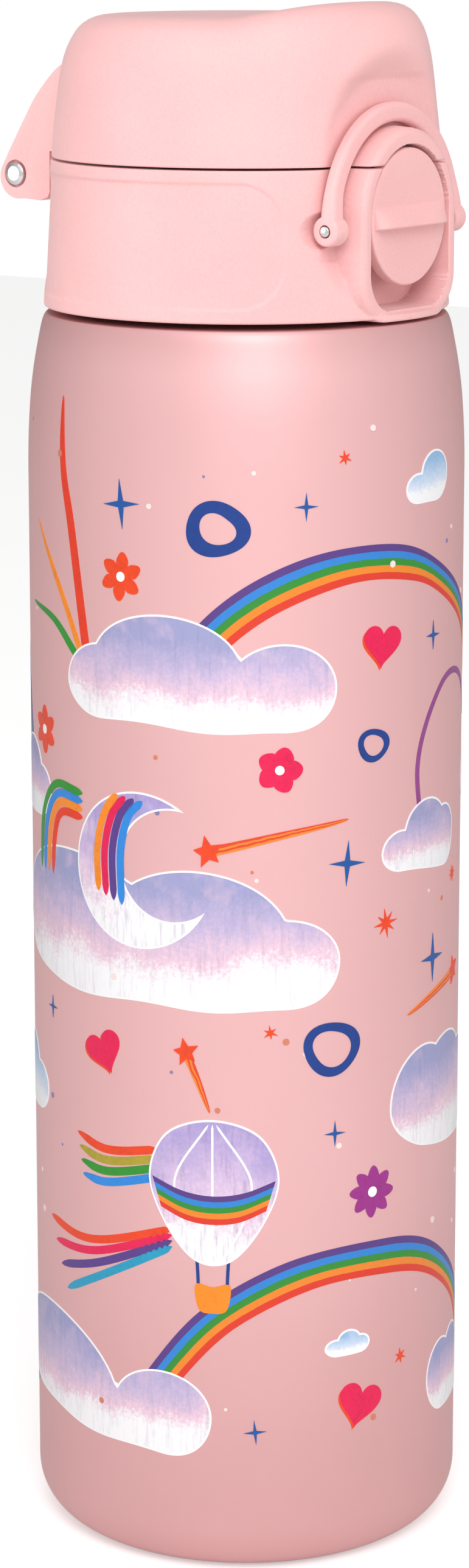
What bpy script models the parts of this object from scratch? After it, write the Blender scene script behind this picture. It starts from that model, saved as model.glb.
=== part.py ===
"""Flip-lid drinking bottle for children: bottle, screw cap and a hinged lid
with a push-button latch and a lock loop.

World frame: metres, +Z up, the base rests on Z = 0 with the bottle axis on the
Z axis.  +X is the front (push button), -X is the back (lid hinge).
Dimensions below are in millimetres and are turned into metres on finishing.
"""
import math

import bmesh
import bpy
from mathutils import Matrix, Vector

TO_METRES = 0.001
SEGMENTS = 72                 # facets round the main turned pieces

# --- bottle ---------------------------------------------------------------
BODY_R = 32.5
BODY_WALL = 1.5
BASE_FLAT_R = 25.0
BASE_CORNER_H = 8.0
SHOULDER_TOP_Z = 186.9
NECK_R = 18.2
NECK_BORE_R = 16.7
NECK_TOP_Z = 203.8

# --- screw thread ---------------------------------------------------------
LEAD = 4.0                    # rise per turn
THREAD_TURNS = 1.25
NECK_CREST_R = 19.4
NECK_THREAD_Z = 194.6
SLEEVE_CREST_R = 18.7
SLEEVE_THREAD_Z = 192.6

# --- cap ------------------------------------------------------------------
COLLAR_BOTTOM_Z = 187.9
COLLAR_TOP_Z = 209.2
COLLAR_BOTTOM_R = 29.95
COLLAR_TOP_R = 28.72
COLLAR_INNER_R = 25.8
DECK_HOLE_R = 19.0
PANEL_DEPTH = 0.25
PANEL_Z = (189.9, 207.4)
PANEL_ANGLES = (44.5, 152.0)  # degrees from the front, mirrored on both sides
PANEL_CORNER = 6.0
SLEEVE_R = 21.6
SLEEVE_BORE_R = 19.9
SLEEVE_BOTTOM_Z = 188.9
DECK_Z = (205.4, 206.9)

# --- latch housing, button and lock loop ------------------------------------
BOSS_HALF_W = 12.5
BOSS_BOTTOM_Z = 187.4
BOSS_TOP_Z = 214.7
BOSS_FACE_X = 28.8
BOSS_BACK_X = 22.2
POCKET_HALF_W = 10.2
POCKET_Z = (189.0, 212.2)
POCKET_BACK_X = 23.3
PIVOT = (25.4, 200.8)         # X, Z of the latch pin
PIN_R = 0.75
FIT_GAP = 0.3
BUTTON_R = 9.8
BUTTON_Z = 202.0
BUTTON_X = (26.7, 28.5)
LOOP_HALF_W = 15.65           # centre line of the legs
LOOP_SECTION_W = 2.8
LOOP_THICKNESS = 2.0
LOOP_CENTRE_Z = 201.1
EYE_R = 2.3
EYE_Y = (14.2, 17.1)

# Hollow in which the loop lies round the housing, as (X, Z) of its back wall.
SCOOP = [(28.6, 188.6), (26.9, 191.0), (25.4, 193.6), (24.4, 196.2), (24.0, 198.6), (24.0, 218.4),
         (24.4, 220.8), (25.4, 223.4), (27.2, 226.2)]
SCOOP_WALL = 1.8

# --- lid --------------------------------------------------------------------
LID_BOTTOM_Z = 209.55
LID_TOP_Z = 230.0
BUMP_HEIGHT = 2.2
BUMP_X = (8.0, 22.0)
HINGE = (-36.7, 206.0)        # X, Z of the hinge pin
EAR_Y = (4.9, 8.2)
LUG_HALF_W = 4.5
HINGE_PIN_R = 1.0

# Outer profile of the lid (radius, height), top centre to rim.
LID_OUTER = [(0.0, 230.0), (19.0, 230.0), (21.2, 229.85), (22.9, 229.3), (24.2, 228.4),
             (25.1, 227.3), (26.0, 225.7), (26.7, 223.8), (27.25, 221.4), (27.75, 218.0),
             (28.35, 213.0), (28.7, 208.0)]
LID_INNER = [(27.0, 208.0), (26.55, 213.0), (25.95, 218.0), (25.45, 220.6), (24.9, 222.6),
             (24.2, 224.4), (23.3, 225.8), (22.2, 226.9), (20.7, 227.7), (18.6, 228.0), (0.0, 228.0)]

COLOURS = {
    "body_plastic": ((0.83, 0.50, 0.49), 0.38),
    "cap_plastic": ((0.93, 0.60, 0.60), 0.55),
    "silicone": ((0.86, 0.86, 0.84), 0.60),
    "clear_plastic": ((0.90, 0.86, 0.84), 0.25),
    "steel": ((0.75, 0.75, 0.76), 0.25),
}
METALLIC = {"steel": 1.0}


def clear_scene():
    """Remove every object so that the script always builds the same scene."""
    for obj in list(bpy.data.objects):
        bpy.data.objects.remove(obj, do_unlink=True)


def to_object(name, bm):
    """Close off a bmesh as an object with outward normals."""
    bmesh.ops.recalc_face_normals(bm, faces=bm.faces)
    mesh = bpy.data.meshes.new(name)
    bm.to_mesh(mesh)
    bm.free()
    obj = bpy.data.objects.new(name, mesh)
    bpy.context.collection.objects.link(obj)
    return obj


def skin(name, rings, closed_ends=True, loop=False):
    """Skin equal rings of points into one closed solid."""
    bm = bmesh.new()
    rows = [[bm.verts.new(p) for p in ring] for ring in rings]
    count = len(rows[0])
    pairs = list(zip(rows, rows[1:]))
    if loop:
        pairs.append((rows[-1], rows[0]))
    for low, high in pairs:
        for i in range(count):
            j = (i + 1) % count
            bm.faces.new((low[i], low[j], high[j], high[i]))
    if closed_ends and not loop:
        bm.faces.new(rows[0])
        bm.faces.new(rows[-1])
    return to_object(name, bm)


def turned(name, profile, segments=SEGMENTS, centre=(0.0, 0.0)):
    """Turn a (radius, z) profile round the vertical line through centre.

    A profile that starts and ends on the axis closes there; any other profile
    is joined end to start into a ring.
    """
    bm = bmesh.new()
    rows = []
    for r, z in profile:
        if r == 0.0:
            rows.append([bm.verts.new((centre[0], centre[1], z))])
        else:
            rows.append([bm.verts.new((centre[0] + r * math.cos(2 * math.pi * k / segments),
                                       centre[1] + r * math.sin(2 * math.pi * k / segments), z))
                         for k in range(segments)])
    pairs = list(zip(rows, rows[1:]))
    if len(rows[0]) > 1:
        pairs.append((rows[-1], rows[0]))
    for a, b in pairs:
        for k in range(segments):
            n = (k + 1) % segments
            if len(a) == 1:
                bm.faces.new((a[0], b[k], b[n]))
            elif len(b) == 1:
                bm.faces.new((a[k], a[n], b[0]))
            else:
                bm.faces.new((a[k], a[n], b[n], b[k]))
    return to_object(name, bm)


def combine(obj, tool, operation):
    """Apply a Boolean of obj with tool and remove the tool."""
    mod = obj.modifiers.new("combine", "BOOLEAN")
    mod.operation = operation
    mod.solver = "EXACT"
    mod.object = tool
    graph = bpy.context.evaluated_depsgraph_get()
    graph.update()
    result = bpy.data.meshes.new_from_object(obj.evaluated_get(graph))
    obj.modifiers.clear()
    obj.data = result
    bpy.data.objects.remove(tool, do_unlink=True)


def join(obj, tool):
    """Weld tool onto obj."""
    combine(obj, tool, "UNION")


def cut(obj, tool):
    """Cut tool out of obj."""
    combine(obj, tool, "DIFFERENCE")


def slab(x0, x1, y0, y1, z0, z1):
    """Plain rectangular tool."""
    return skin("tool", [[(x0, y0, z), (x1, y0, z), (x1, y1, z), (x0, y1, z)] for z in (z0, z1)])


def cylinder_y(centre, radius, y0, y1, segments=24, name="tool"):
    """Solid cylinder along Y through (X, Z) centre."""
    ring = [(centre[0] + radius * math.cos(2 * math.pi * k / segments),
             centre[1] + radius * math.sin(2 * math.pi * k / segments)) for k in range(segments)]
    return skin(name, [[(x, y, z) for x, z in ring] for y in (y0, y1)])


def prism_y(outline, y0, y1):
    """Prism along Y of an outline given as (x, z) points."""
    return skin("tool", [[(x, y, z) for x, z in outline] for y in (y0, y1)])


def arc(cx, cz, radius, start, end, steps):
    """Points on a circular arc, angles in degrees."""
    return [(cx + radius * math.cos(math.radians(start + (end - start) * k / steps)),
             cz + radius * math.sin(math.radians(start + (end - start) * k / steps)))
            for k in range(steps + 1)]


def arched(half_w, bottom, top, corner, inset=0.0, steps=10):
    """Front outline (y, z): round arch on top, rounded corners at the foot."""
    w = half_w - inset
    r = corner - inset
    points = arc(-w + r, bottom + inset + r, r, 180, 270, 5)
    points += arc(w - r, bottom + inset + r, r, 270, 360, 5)
    return points + arc(0.0, top - inset - w, w, 0, 180, 2 * steps)


def layered_x(outlines, name="tool"):
    """Solid skinned through front outlines [(x, outline), ...]."""
    return skin(name, [[(x, y, z) for y, z in outline] for x, outline in outlines])


def boss():
    """Raised latch housing with softened front edges."""
    size = (BOSS_HALF_W, BOSS_BOTTOM_Z, BOSS_TOP_Z, 5.0)
    face = BOSS_FACE_X
    return layered_x([(BOSS_BACK_X, arched(*size)), (face - 1.1, arched(*size)),
                      (face - 0.5, arched(*size, inset=0.18)), (face - 0.12, arched(*size, inset=0.55)),
                      (face, arched(*size, inset=1.0))])


def scoop(behind=0.0):
    """Space in front of the hollow's back wall, moved back by behind."""
    wall = [(x - behind, z) for x, z in SCOOP]
    return prism_y([(60.0, SCOOP[0][1])] + wall + [(60.0, SCOOP[-1][1])], -24.0, 24.0)


def pocket():
    """Space cut in the housing for the push button."""
    outline = arched(POCKET_HALF_W, POCKET_Z[0], POCKET_Z[1], 4.2)
    return layered_x([(POCKET_BACK_X, outline), (40.0, outline)])


def helix_ridge(base_r, crest_r, z_start, foot=1.0, crest=0.5):
    """Right-hand thread ridge that fades in and out at its ends."""
    steps = int(THREAD_TURNS * 48)
    rings = []
    for k in range(steps + 1):
        angle = 2 * math.pi * THREAD_TURNS * k / steps
        fade = min(1.0, 0.12 + k / 5.0, 0.12 + (steps - k) / 5.0)
        z = z_start + LEAD * angle / (2 * math.pi)
        tip = base_r + (crest_r - base_r) * (0.35 + 0.65 * fade)
        section = [(base_r, -foot * fade), (tip, -crest * fade), (tip, crest * fade), (base_r, foot * fade)]
        rings.append([(r * math.cos(angle), r * math.sin(angle), z + dz) for r, dz in section])
    return skin("tool", rings)


def rounded_panel(side):
    """Curved tool that leaves a shallow grip panel on the collar."""
    steps = 6
    mid_r = 0.5 * (COLLAR_TOP_R + COLLAR_BOTTOM_R)
    a0, a1 = (math.radians(a) for a in PANEL_ANGLES)
    s0, s1 = a0 * mid_r, a1 * mid_r
    z0, z1 = PANEL_Z
    c = PANEL_CORNER
    corners = (arc(s1 - c, z0 + c, c, -90, 0, steps) + arc(s1 - c, z1 - c, c, 0, 90, steps)
               + arc(s0 + c, z1 - c, c, 90, 180, steps) + arc(s0 + c, z0 + c, c, 180, 270, steps))
    outline = []
    for (sa, za), (sb, zb) in zip(corners, corners[1:] + corners[:1]):
        pieces = max(1, int(abs(sb - sa) / 2.0))
        outline += [(sa + (sb - sa) * k / pieces, za + (zb - za) * k / pieces) for k in range(pieces)]
    bm = bmesh.new()
    layers = []
    for lift in (-PANEL_DEPTH, 1.0):
        ring = []
        for s, z in outline:
            t = (z - COLLAR_BOTTOM_Z) / (COLLAR_TOP_Z - COLLAR_BOTTOM_Z)
            r = COLLAR_BOTTOM_R + (COLLAR_TOP_R - COLLAR_BOTTOM_R) * t + lift
            angle = side * s / mid_r
            ring.append(bm.verts.new((r * math.cos(angle), r * math.sin(angle), z)))
        layers.append(ring)
    count = len(outline)
    for i in range(count):
        j = (i + 1) % count
        bm.faces.new((layers[0][i], layers[0][j], layers[1][j], layers[1][i]))
    # Each cap is bridged straight across in height so that it follows the curve.
    order = sorted(range(count), key=lambda i: outline[i][0])
    for ring in layers:
        low = [i for i in order if outline[i][1] <= 0.5 * (z0 + z1)]
        high = [i for i in order if outline[i][1] > 0.5 * (z0 + z1)]
        i = j = 0
        while i < len(low) - 1 or j < len(high) - 1:
            step_low = j == len(high) - 1 or (i < len(low) - 1
                                              and outline[low[i + 1]][0] <= outline[high[j + 1]][0])
            if step_low:
                bm.faces.new((ring[low[i]], ring[low[i + 1]], ring[high[j]]))
                i += 1
            else:
                bm.faces.new((ring[low[i]], ring[high[j]], ring[high[j + 1]]))
                j += 1
    return to_object("tool", bm)


def material(name):
    """Shared Principled material of one moulded or turned stock."""
    mat = bpy.data.materials.get(name)
    if mat is None:
        mat = bpy.data.materials.new(name)
        mat.use_nodes = True
        shader = mat.node_tree.nodes["Principled BSDF"]
        colour, rough = COLOURS[name]
        shader.inputs["Base Color"].default_value = (*colour, 1.0)
        shader.inputs["Roughness"].default_value = rough
        shader.inputs["Metallic"].default_value = METALLIC.get(name, 0.0)
    return mat


def finish(obj, name, stock, parent, origin):
    """Name a piece, tidy it, scale it to metres and hang it on its body's frame."""
    bm = bmesh.new()
    bm.from_mesh(obj.data)
    bmesh.ops.remove_doubles(bm, verts=bm.verts, dist=0.0005)
    bmesh.ops.dissolve_degenerate(bm, edges=bm.edges, dist=0.0005)
    bmesh.ops.triangulate(bm, faces=[f for f in bm.faces if len(f.verts) > 4])
    bmesh.ops.transform(bm, matrix=Matrix.Scale(TO_METRES, 4) @ Matrix.Translation(-Vector(origin)),
                        verts=bm.verts)
    mesh = bpy.data.meshes.new(name)
    bm.to_mesh(mesh)
    bm.free()
    obj.data = mesh
    obj.name = name
    mesh.materials.append(material(stock))
    mesh.shade_smooth()
    mesh.set_sharp_from_angle(angle=math.radians(38))
    obj.parent = parent
    obj.location = Vector(origin) * TO_METRES - parent.location
    return obj


def pivot_frame(name, location):
    """Empty on a joint axis that the pieces of one moving body hang on."""
    empty = bpy.data.objects.new(name, None)
    empty.location = Vector(location) * TO_METRES
    empty.empty_display_size = 0.01
    bpy.context.collection.objects.link(empty)
    bpy.context.view_layer.update()
    return empty


def bottle_body():
    """Blown bottle with a flat base, a drawn-in shoulder and a threaded neck."""
    inner_r = BODY_R - BODY_WALL
    corner = [(BASE_FLAT_R + (BODY_R - BASE_FLAT_R) * math.sin(math.radians(a)),
               BASE_CORNER_H * (1 - math.cos(math.radians(a)))) for a in (12, 26, 40, 54, 68, 80, 90)]
    outer = [(0.0, 0.0), (BASE_FLAT_R, 0.0)] + corner
    outer += [(BODY_R, 60.0), (BODY_R, 120.0), (BODY_R, 165.0), (32.4, 169.0), (32.2, 172.7), (31.9, 176.2),
              (31.4, 179.8), (30.75, 183.3), (30.3, 185.4), (29.95, 186.4), (29.3, SHOULDER_TOP_Z),
              (20.6, SHOULDER_TOP_Z), (19.2, 187.3), (18.45, 188.2), (NECK_R, 189.2),
              (NECK_R, NECK_TOP_Z - 0.4), (NECK_R - 0.4, NECK_TOP_Z)]
    inner_corner = [(BASE_FLAT_R - 1.0 + (inner_r - BASE_FLAT_R + 1.0) * math.sin(math.radians(a)),
                     1.8 + 7.0 * (1 - math.cos(math.radians(a)))) for a in (90, 72, 52, 32, 14)]
    inner = [(NECK_BORE_R + 0.3, NECK_TOP_Z), (NECK_BORE_R, NECK_TOP_Z - 0.3), (NECK_BORE_R, 187.6),
             (17.2, 186.3), (18.6, 185.5), (20.6, 185.2), (27.6, 185.2), (28.5, 184.8), (29.3, 182.8),
             (29.9, 179.6), (30.4, 176.0), (30.75, 172.0), (inner_r, 165.0), (inner_r, 90.0)]
    inner += inner_corner + [(BASE_FLAT_R - 1.0, 1.8), (0.0, 1.8)]
    obj = turned("tool_body", outer + inner)
    join(obj, helix_ridge(NECK_R - 0.4, NECK_CREST_R, NECK_THREAD_Z))
    return obj


def thread_sleeve():
    """Inner threaded cup of the cap with the drinking deck on top."""
    obj = turned("tool_sleeve", [(8.0, DECK_Z[0]), (SLEEVE_BORE_R, DECK_Z[0]),
                                 (SLEEVE_BORE_R, SLEEVE_BOTTOM_Z + 0.4), (SLEEVE_BORE_R + 0.4, SLEEVE_BOTTOM_Z),
                                 (SLEEVE_R, SLEEVE_BOTTOM_Z), (SLEEVE_R, DECK_Z[1]), (8.0, DECK_Z[1])])
    join(obj, helix_ridge(SLEEVE_BORE_R + 0.4, SLEEVE_CREST_R, SLEEVE_THREAD_Z))
    cut(obj, turned("tool", [(0.0, 203.0), (1.15, 203.0), (1.15, 209.0), (0.0, 209.0)], 16, (-15.1, 0.0)))
    return obj


def cap_collar():
    """Outer skirt of the cap with the latch housing, grip panels and hinge lug."""
    top = 212.0
    slope = (COLLAR_TOP_R - COLLAR_BOTTOM_R) / (COLLAR_TOP_Z - COLLAR_BOTTOM_Z)
    outer = [(COLLAR_INNER_R, COLLAR_BOTTOM_Z), (COLLAR_BOTTOM_R - 0.35, COLLAR_BOTTOM_Z),
             (COLLAR_BOTTOM_R, COLLAR_BOTTOM_Z + 0.35), (COLLAR_TOP_R, COLLAR_TOP_Z),
             (COLLAR_TOP_R + slope * (top - COLLAR_TOP_Z), top)]
    obj = turned("tool_collar", outer + [(DECK_HOLE_R, top), (DECK_HOLE_R, 207.2), (COLLAR_INNER_R, 207.2)])
    for side in (1, -1):
        cut(obj, rounded_panel(side))
    cut(obj, scoop())
    join(obj, boss())
    cut(obj, slab(-60, 60, -60, 60, COLLAR_TOP_Z, 240.0))
    hx, hz = HINGE
    lug = [(-27.2, 202.8), (-27.2, 208.4)] + arc(hx, hz, 2.4, 90, 250, 12)
    join(obj, prism_y(lug, -LUG_HALF_W, LUG_HALF_W))
    cut(obj, cylinder_y(HINGE, HINGE_PIN_R + FIT_GAP, -20, 20))
    cut(obj, pocket())
    cut(obj, cylinder_y(PIVOT, PIN_R + FIT_GAP, -20, 20, 20))
    for side in (1, -1):
        cut(obj, cylinder_y(PIVOT, EYE_R + 0.6, *sorted((side * (EYE_Y[0] - 0.5), side * 24.0))))
    return obj


def mouthpiece():
    """Soft drinking spout that stands on the deck."""
    return turned("tool_spout", [(3.6, 204.2), (7.6, 204.2), (7.6, 207.2), (11.2, 207.2), (11.2, 208.2),
                                 (10.8, 208.6), (8.6, 209.2), (7.5, 211.0), (7.0, 214.0), (6.6, 218.0),
                                 (6.2, 220.0), (5.4, 220.8), (4.4, 221.0), (3.6, 220.7)], 48)


def vent_valve():
    """Small mushroom valve that lets air back in."""
    return turned("tool_vent", [(0.0, 204.4), (0.8, 204.4), (0.8, 207.2), (2.4, 207.2), (2.4, 207.6),
                                (1.6, 208.1), (0.0, 208.3)], 20, (-15.1, 0.0))


def neck_seal():
    """Flat silicone ring between the neck and the deck."""
    return turned("tool_ring", [(16.9, 204.3), (17.1, 204.1), (19.2, 204.1), (19.4, 204.3), (19.4, 204.9),
                                (19.2, 205.1), (17.1, 205.1), (16.9, 204.9)], 64)


def latch_button():
    """Rocking disc with a thumb ledge, a pivot barrel and a hook at the top."""
    steps = 48

    def disc(radius):
        return [(radius * math.cos(2 * math.pi * k / steps), BUTTON_Z + radius * math.sin(2 * math.pi * k / steps))
                for k in range(steps)]

    x0, x1 = BUTTON_X
    obj = layered_x([(x0, disc(BUTTON_R)), (x1 - 0.5, disc(BUTTON_R)), (x1 - 0.15, disc(BUTTON_R - 0.15)),
                     (x1, disc(BUTTON_R - 0.5))], "tool_button")
    ledge = [(x1 - 0.6, 203.9), (x1 + 0.2, 203.4), (x1 + 0.95, 201.6), (x1 + 1.05, 200.9), (x1 + 0.8, 200.5),
             (x1 - 0.6, 200.2)]
    join(obj, prism_y(ledge, -8.3, 8.3))
    join(obj, cylinder_y(PIVOT, 1.8, -8.6, 8.6))
    join(obj, slab(25.1, x0 + 0.6, -3.0, 3.0, 210.55, 211.25))
    cut(obj, cylinder_y(PIVOT, PIN_R + FIT_GAP, -20, 20, 20))
    return obj


def button_spring():
    """Small compression coil behind the lower half of the button."""
    turns, coil_r, wire_r, sides = 3, 1.5, 0.22, 6
    x0, x1 = POCKET_BACK_X + 0.55, BUTTON_X[0] - 0.55
    steps = turns * 16
    rings = []
    for k in range(steps + 1):
        angle = 2 * math.pi * turns * k / steps
        x = x0 + (x1 - x0) * k / steps
        radial = Vector((0.0, math.cos(angle), math.sin(angle)))
        centre = Vector((x, 0.0, 195.6)) + coil_r * radial
        rings.append([centre + wire_r * (math.cos(2 * math.pi * i / sides) * radial
                                         + math.sin(2 * math.pi * i / sides) * Vector((1.0, 0.0, 0.0)))
                      for i in range(sides)])
    return skin("tool_spring", rings)


def pin_y(name, centre, radius, half_length, head_r=0.0, head_from=0.0):
    """Turned pin along Y, with a domed head at each end when head_r is given."""
    if head_r:
        half = [(0.0, half_length), (head_r * 0.55, half_length - 0.08), (head_r * 0.86, half_length - 0.28),
                (head_r, head_from + 0.2), (head_r, head_from), (radius, head_from)]
    else:
        half = [(0.0, half_length), (radius - 0.15, half_length), (radius, half_length - 0.15)]
    profile = half + [(r, -y) for r, y in reversed(half)]
    obj = turned(name, profile, 20)
    obj.data.transform(Matrix.Translation((centre[0], 0.0, centre[1])) @ Matrix.Rotation(math.radians(90), 4, "X"))
    return obj


def lock_loop():
    """Flat hoop that lies round the latch housing, on two eyes."""
    px, pz = PIVOT
    path = [(-LOOP_HALF_W, pz - 0.3, 180.0), (-LOOP_HALF_W, pz, 180.0)]
    path += [(LOOP_HALF_W * math.cos(math.radians(a)), LOOP_CENTRE_Z + LOOP_HALF_W * math.sin(math.radians(a)), a)
             for a in range(180, -1, -5)]
    path += [(LOOP_HALF_W, pz, 0.0), (LOOP_HALF_W, pz - 0.3, 0.0)]
    section = []
    for cx, cy, start in ((1, 1, 0), (-1, 1, 90), (-1, -1, 180), (1, -1, 270)):
        section += arc(cx * 0.55, cy * 0.36, 1.0, start, start + 90, 3)
    rings = []
    for y, z, a in path:
        out_y, out_z = math.cos(math.radians(a)), math.sin(math.radians(a))
        ring = []
        for across, depth in section:
            reach = across / 1.55 * LOOP_SECTION_W / 2
            ring.append((px + depth / 1.36 * LOOP_THICKNESS / 2, y + out_y * reach, z + out_z * reach))
        rings.append(ring)
    obj = skin("tool_loop", rings)
    for side in (1, -1):
        join(obj, cylinder_y(PIVOT, EYE_R, *sorted((side * EYE_Y[0], side * EYE_Y[1])), 28))
    cut(obj, cylinder_y(PIVOT, PIN_R + FIT_GAP, -20, 20, 20))
    return obj


def lid_shell():
    """Hollow lid with a raised front brow, latch arch and two hinge ears."""
    obj = turned("tool_lid", LID_OUTER + [(0.0, LID_OUTER[-1][1])])
    hollow = turned("tool_hollow", [(0.0, LID_INNER[0][1])] + LID_INNER)
    for vert in list(obj.data.vertices) + list(hollow.data.vertices):
        x, z = vert.co.x, vert.co.z
        t = min(1.0, max(0.0, (x - BUMP_X[0]) / (BUMP_X[1] - BUMP_X[0])))
        h = min(1.0, max(0.0, (z - 216.0) / 11.0))
        vert.co.z = z + BUMP_HEIGHT * t * t * (3 - 2 * t) * h * h * (3 - 2 * h)
    cut(hollow, scoop(SCOOP_WALL))
    cut(obj, scoop())
    cut(obj, hollow)
    join(obj, boss())
    hx, hz = HINGE
    ear = [(-25.2, 223.2), (-27.4, 222.6), (-29.4, 221.2), (-31.8, 218.7), (-33.3, 216.8), (-34.8, 214.4),
           (-36.4, 211.8), (-37.9, 209.3)]
    ear += arc(-36.1, 205.3, 3.1, 15, -90, 8)
    ear += [(-32.0, 202.2), (-30.6, 202.6), (-30.2, 203.4), (-30.2, 209.55), (-26.8, 209.55)]
    for side in (1, -1):
        join(obj, prism_y(ear, *sorted((side * EAR_Y[0], side * EAR_Y[1]))))
        cut(obj, cylinder_y(HINGE, 2.05, *sorted((side * (EAR_Y[1] - 0.6), side * 12.0))))
    cut(obj, cylinder_y(HINGE, HINGE_PIN_R + FIT_GAP, -20, 20))
    cut(obj, slab(-29.6, 60, -60, 60, 150.0, LID_BOTTOM_Z))
    cut(obj, pocket())
    join(obj, slab(22.9, 24.75, -3.0, 3.0, LID_BOTTOM_Z, 210.2))
    return obj


def lid_plug():
    """Round boss under the roof that carries the seal pad."""
    return turned("tool_plug", [(0.0, 224.4), (7.2, 224.4), (7.2, 225.4), (5.6, 225.8), (5.6, 227.7), (0.0, 227.7)], 40)


def lid_seal():
    """Soft pad that closes the spout."""
    return turned("tool_pad", [(0.0, 221.4), (7.0, 221.4), (7.4, 221.8), (7.4, 223.7), (7.0, 224.1), (0.0, 224.1)], 40)


def main():
    """Build every piece and hang it on the frame of its moving body."""
    clear_scene()
    px, pz = PIVOT
    hx, hz = HINGE
    bottle = pivot_frame("frame_bottle", (0.0, 0.0, 0.0))
    cap = pivot_frame("frame_cap", (0.0, 0.0, COLLAR_BOTTOM_Z))
    lid = pivot_frame("frame_lid", (hx, 0.0, hz))
    latch = pivot_frame("frame_latch", (px, 0.0, pz))
    on_axis = (0.0, 0.0, COLLAR_BOTTOM_Z)
    on_hinge = (hx, 0.0, hz)
    on_latch = (px, 0.0, pz)
    finish(bottle_body(), "bottle_body", "body_plastic", bottle, (0.0, 0.0, 0.0))
    finish(neck_seal(), "neck_seal", "silicone", cap, on_axis)
    finish(cap_collar(), "cap_collar", "cap_plastic", cap, on_axis)
    finish(thread_sleeve(), "thread_sleeve", "cap_plastic", cap, on_axis)
    finish(mouthpiece(), "mouthpiece", "silicone", cap, on_axis)
    finish(vent_valve(), "vent_valve", "silicone", cap, on_axis)
    finish(pin_y("tool_pin", PIVOT, PIN_R, 17.35), "latch_pin", "steel", cap, on_latch)
    finish(pin_y("tool_pin", HINGE, HINGE_PIN_R, 8.75, 1.7, 7.9), "hinge_pin", "steel", cap, on_hinge)
    finish(button_spring(), "button_spring", "steel", cap, on_axis)
    finish(latch_button(), "latch_button", "cap_plastic", latch, on_latch)
    finish(lock_loop(), "lock_loop", "cap_plastic", latch, on_latch)
    finish(lid_shell(), "lid_shell", "cap_plastic", lid, on_hinge)
    finish(lid_plug(), "lid_plug", "clear_plastic", lid, on_hinge)
    finish(lid_seal(), "lid_seal", "silicone", lid, on_hinge)


main()
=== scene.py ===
"""Finished look of a children's flip-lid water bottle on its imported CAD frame.

Every class below is one sub-assembly: its dataclass fields are sizes in
millimetres, its methods build the meshes and dress them.  The row frame is
kept throughout: +Z up, +X towards the push button, base on Z = 0.
"""
import logging
import math
from dataclasses import dataclass, field
from enum import Enum
from typing import Callable, Iterable, Sequence

import bmesh
import bpy
import numpy as np
from mathutils import Matrix, Vector


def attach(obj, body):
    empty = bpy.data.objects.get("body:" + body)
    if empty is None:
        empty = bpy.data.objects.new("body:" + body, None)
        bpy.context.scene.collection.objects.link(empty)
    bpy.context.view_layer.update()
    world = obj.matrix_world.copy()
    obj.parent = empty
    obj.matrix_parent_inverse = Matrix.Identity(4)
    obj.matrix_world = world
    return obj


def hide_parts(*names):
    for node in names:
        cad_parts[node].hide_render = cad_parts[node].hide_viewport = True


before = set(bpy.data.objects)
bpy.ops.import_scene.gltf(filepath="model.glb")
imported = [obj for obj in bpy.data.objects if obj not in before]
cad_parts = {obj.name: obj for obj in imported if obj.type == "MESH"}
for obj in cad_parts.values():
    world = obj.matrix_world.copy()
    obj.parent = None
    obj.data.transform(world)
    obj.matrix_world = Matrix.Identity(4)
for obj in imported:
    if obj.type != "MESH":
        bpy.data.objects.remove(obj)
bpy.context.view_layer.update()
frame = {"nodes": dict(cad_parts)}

log = logging.getLogger("bottle")

MM = 0.001
Point2 = tuple[float, float]
Colour = tuple[float, float, float]


class Body(str, Enum):
    """CAD bodies that the finished pieces ride on."""

    BOTTLE = "bottle"
    SEAL_RING = "seal_ring"
    CAP = "cap"
    LID = "lid"
    BUTTON = "button"
    LOOP = "loop"


class Slot(str, Enum):
    """Material slots of the record."""

    FROSTED = "frosted_shell"
    CAP = "cap_plastic"
    SEAL = "seal_silicone"
    SPOUT = "spout_silicone"
    PLUG = "plug_plastic"
    STEEL = "pin_steel"


# --------------------------------------------------------------------------
# Small numeric helpers
# --------------------------------------------------------------------------

def linear(red: int, green: int, blue: int) -> Colour:
    """Turn an 8-bit display colour into scene-linear values.

    Args:
        red: Red, 0 to 255.
        green: Green, 0 to 255.
        blue: Blue, 0 to 255.

    Returns:
        The colour as linear red, green and blue.
    """
    def channel(value: int) -> float:
        """One channel as a linear value."""
        v = value / 255.0
        return v / 12.92 if v <= 0.04045 else ((v + 0.055) / 1.055) ** 2.4

    return channel(red), channel(green), channel(blue)


def ease(low: float, high: float, value: np.ndarray | float) -> np.ndarray:
    """Smooth step from 0 at low to 1 at high."""
    t = np.clip((np.asarray(value, float) - low) / (high - low), 0.0, 1.0)
    return t * t * (3.0 - 2.0 * t)


def spline(points: Sequence[Point2], steps: int = 12, closed: bool = False) -> np.ndarray:
    """Catmull-Rom curve through plane points.

    Args:
        points: Control points.
        steps: Samples per span.
        closed: Whether the last point joins the first.

    Returns:
        Samples as an (n, 2) array.
    """
    pts = np.array(points, float)
    if closed:
        padded = np.vstack([pts[-1], pts, pts[0], pts[1]])
    else:
        padded = np.vstack([2 * pts[0] - pts[1], pts, 2 * pts[-1] - pts[-2]])
    t = np.linspace(0.0, 1.0, steps, endpoint=False)[:, None]
    out = []
    for i in range(1, len(padded) - 2):
        a, b, c, d = padded[i - 1:i + 3]
        out.append(0.5 * (2 * b + (c - a) * t + (2 * a - 5 * b + 4 * c - d) * t ** 2
                          + (3 * b - a - 3 * c + d) * t ** 3))
    samples = np.vstack(out)
    return samples if closed else np.vstack([samples, pts[-1]])


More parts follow.
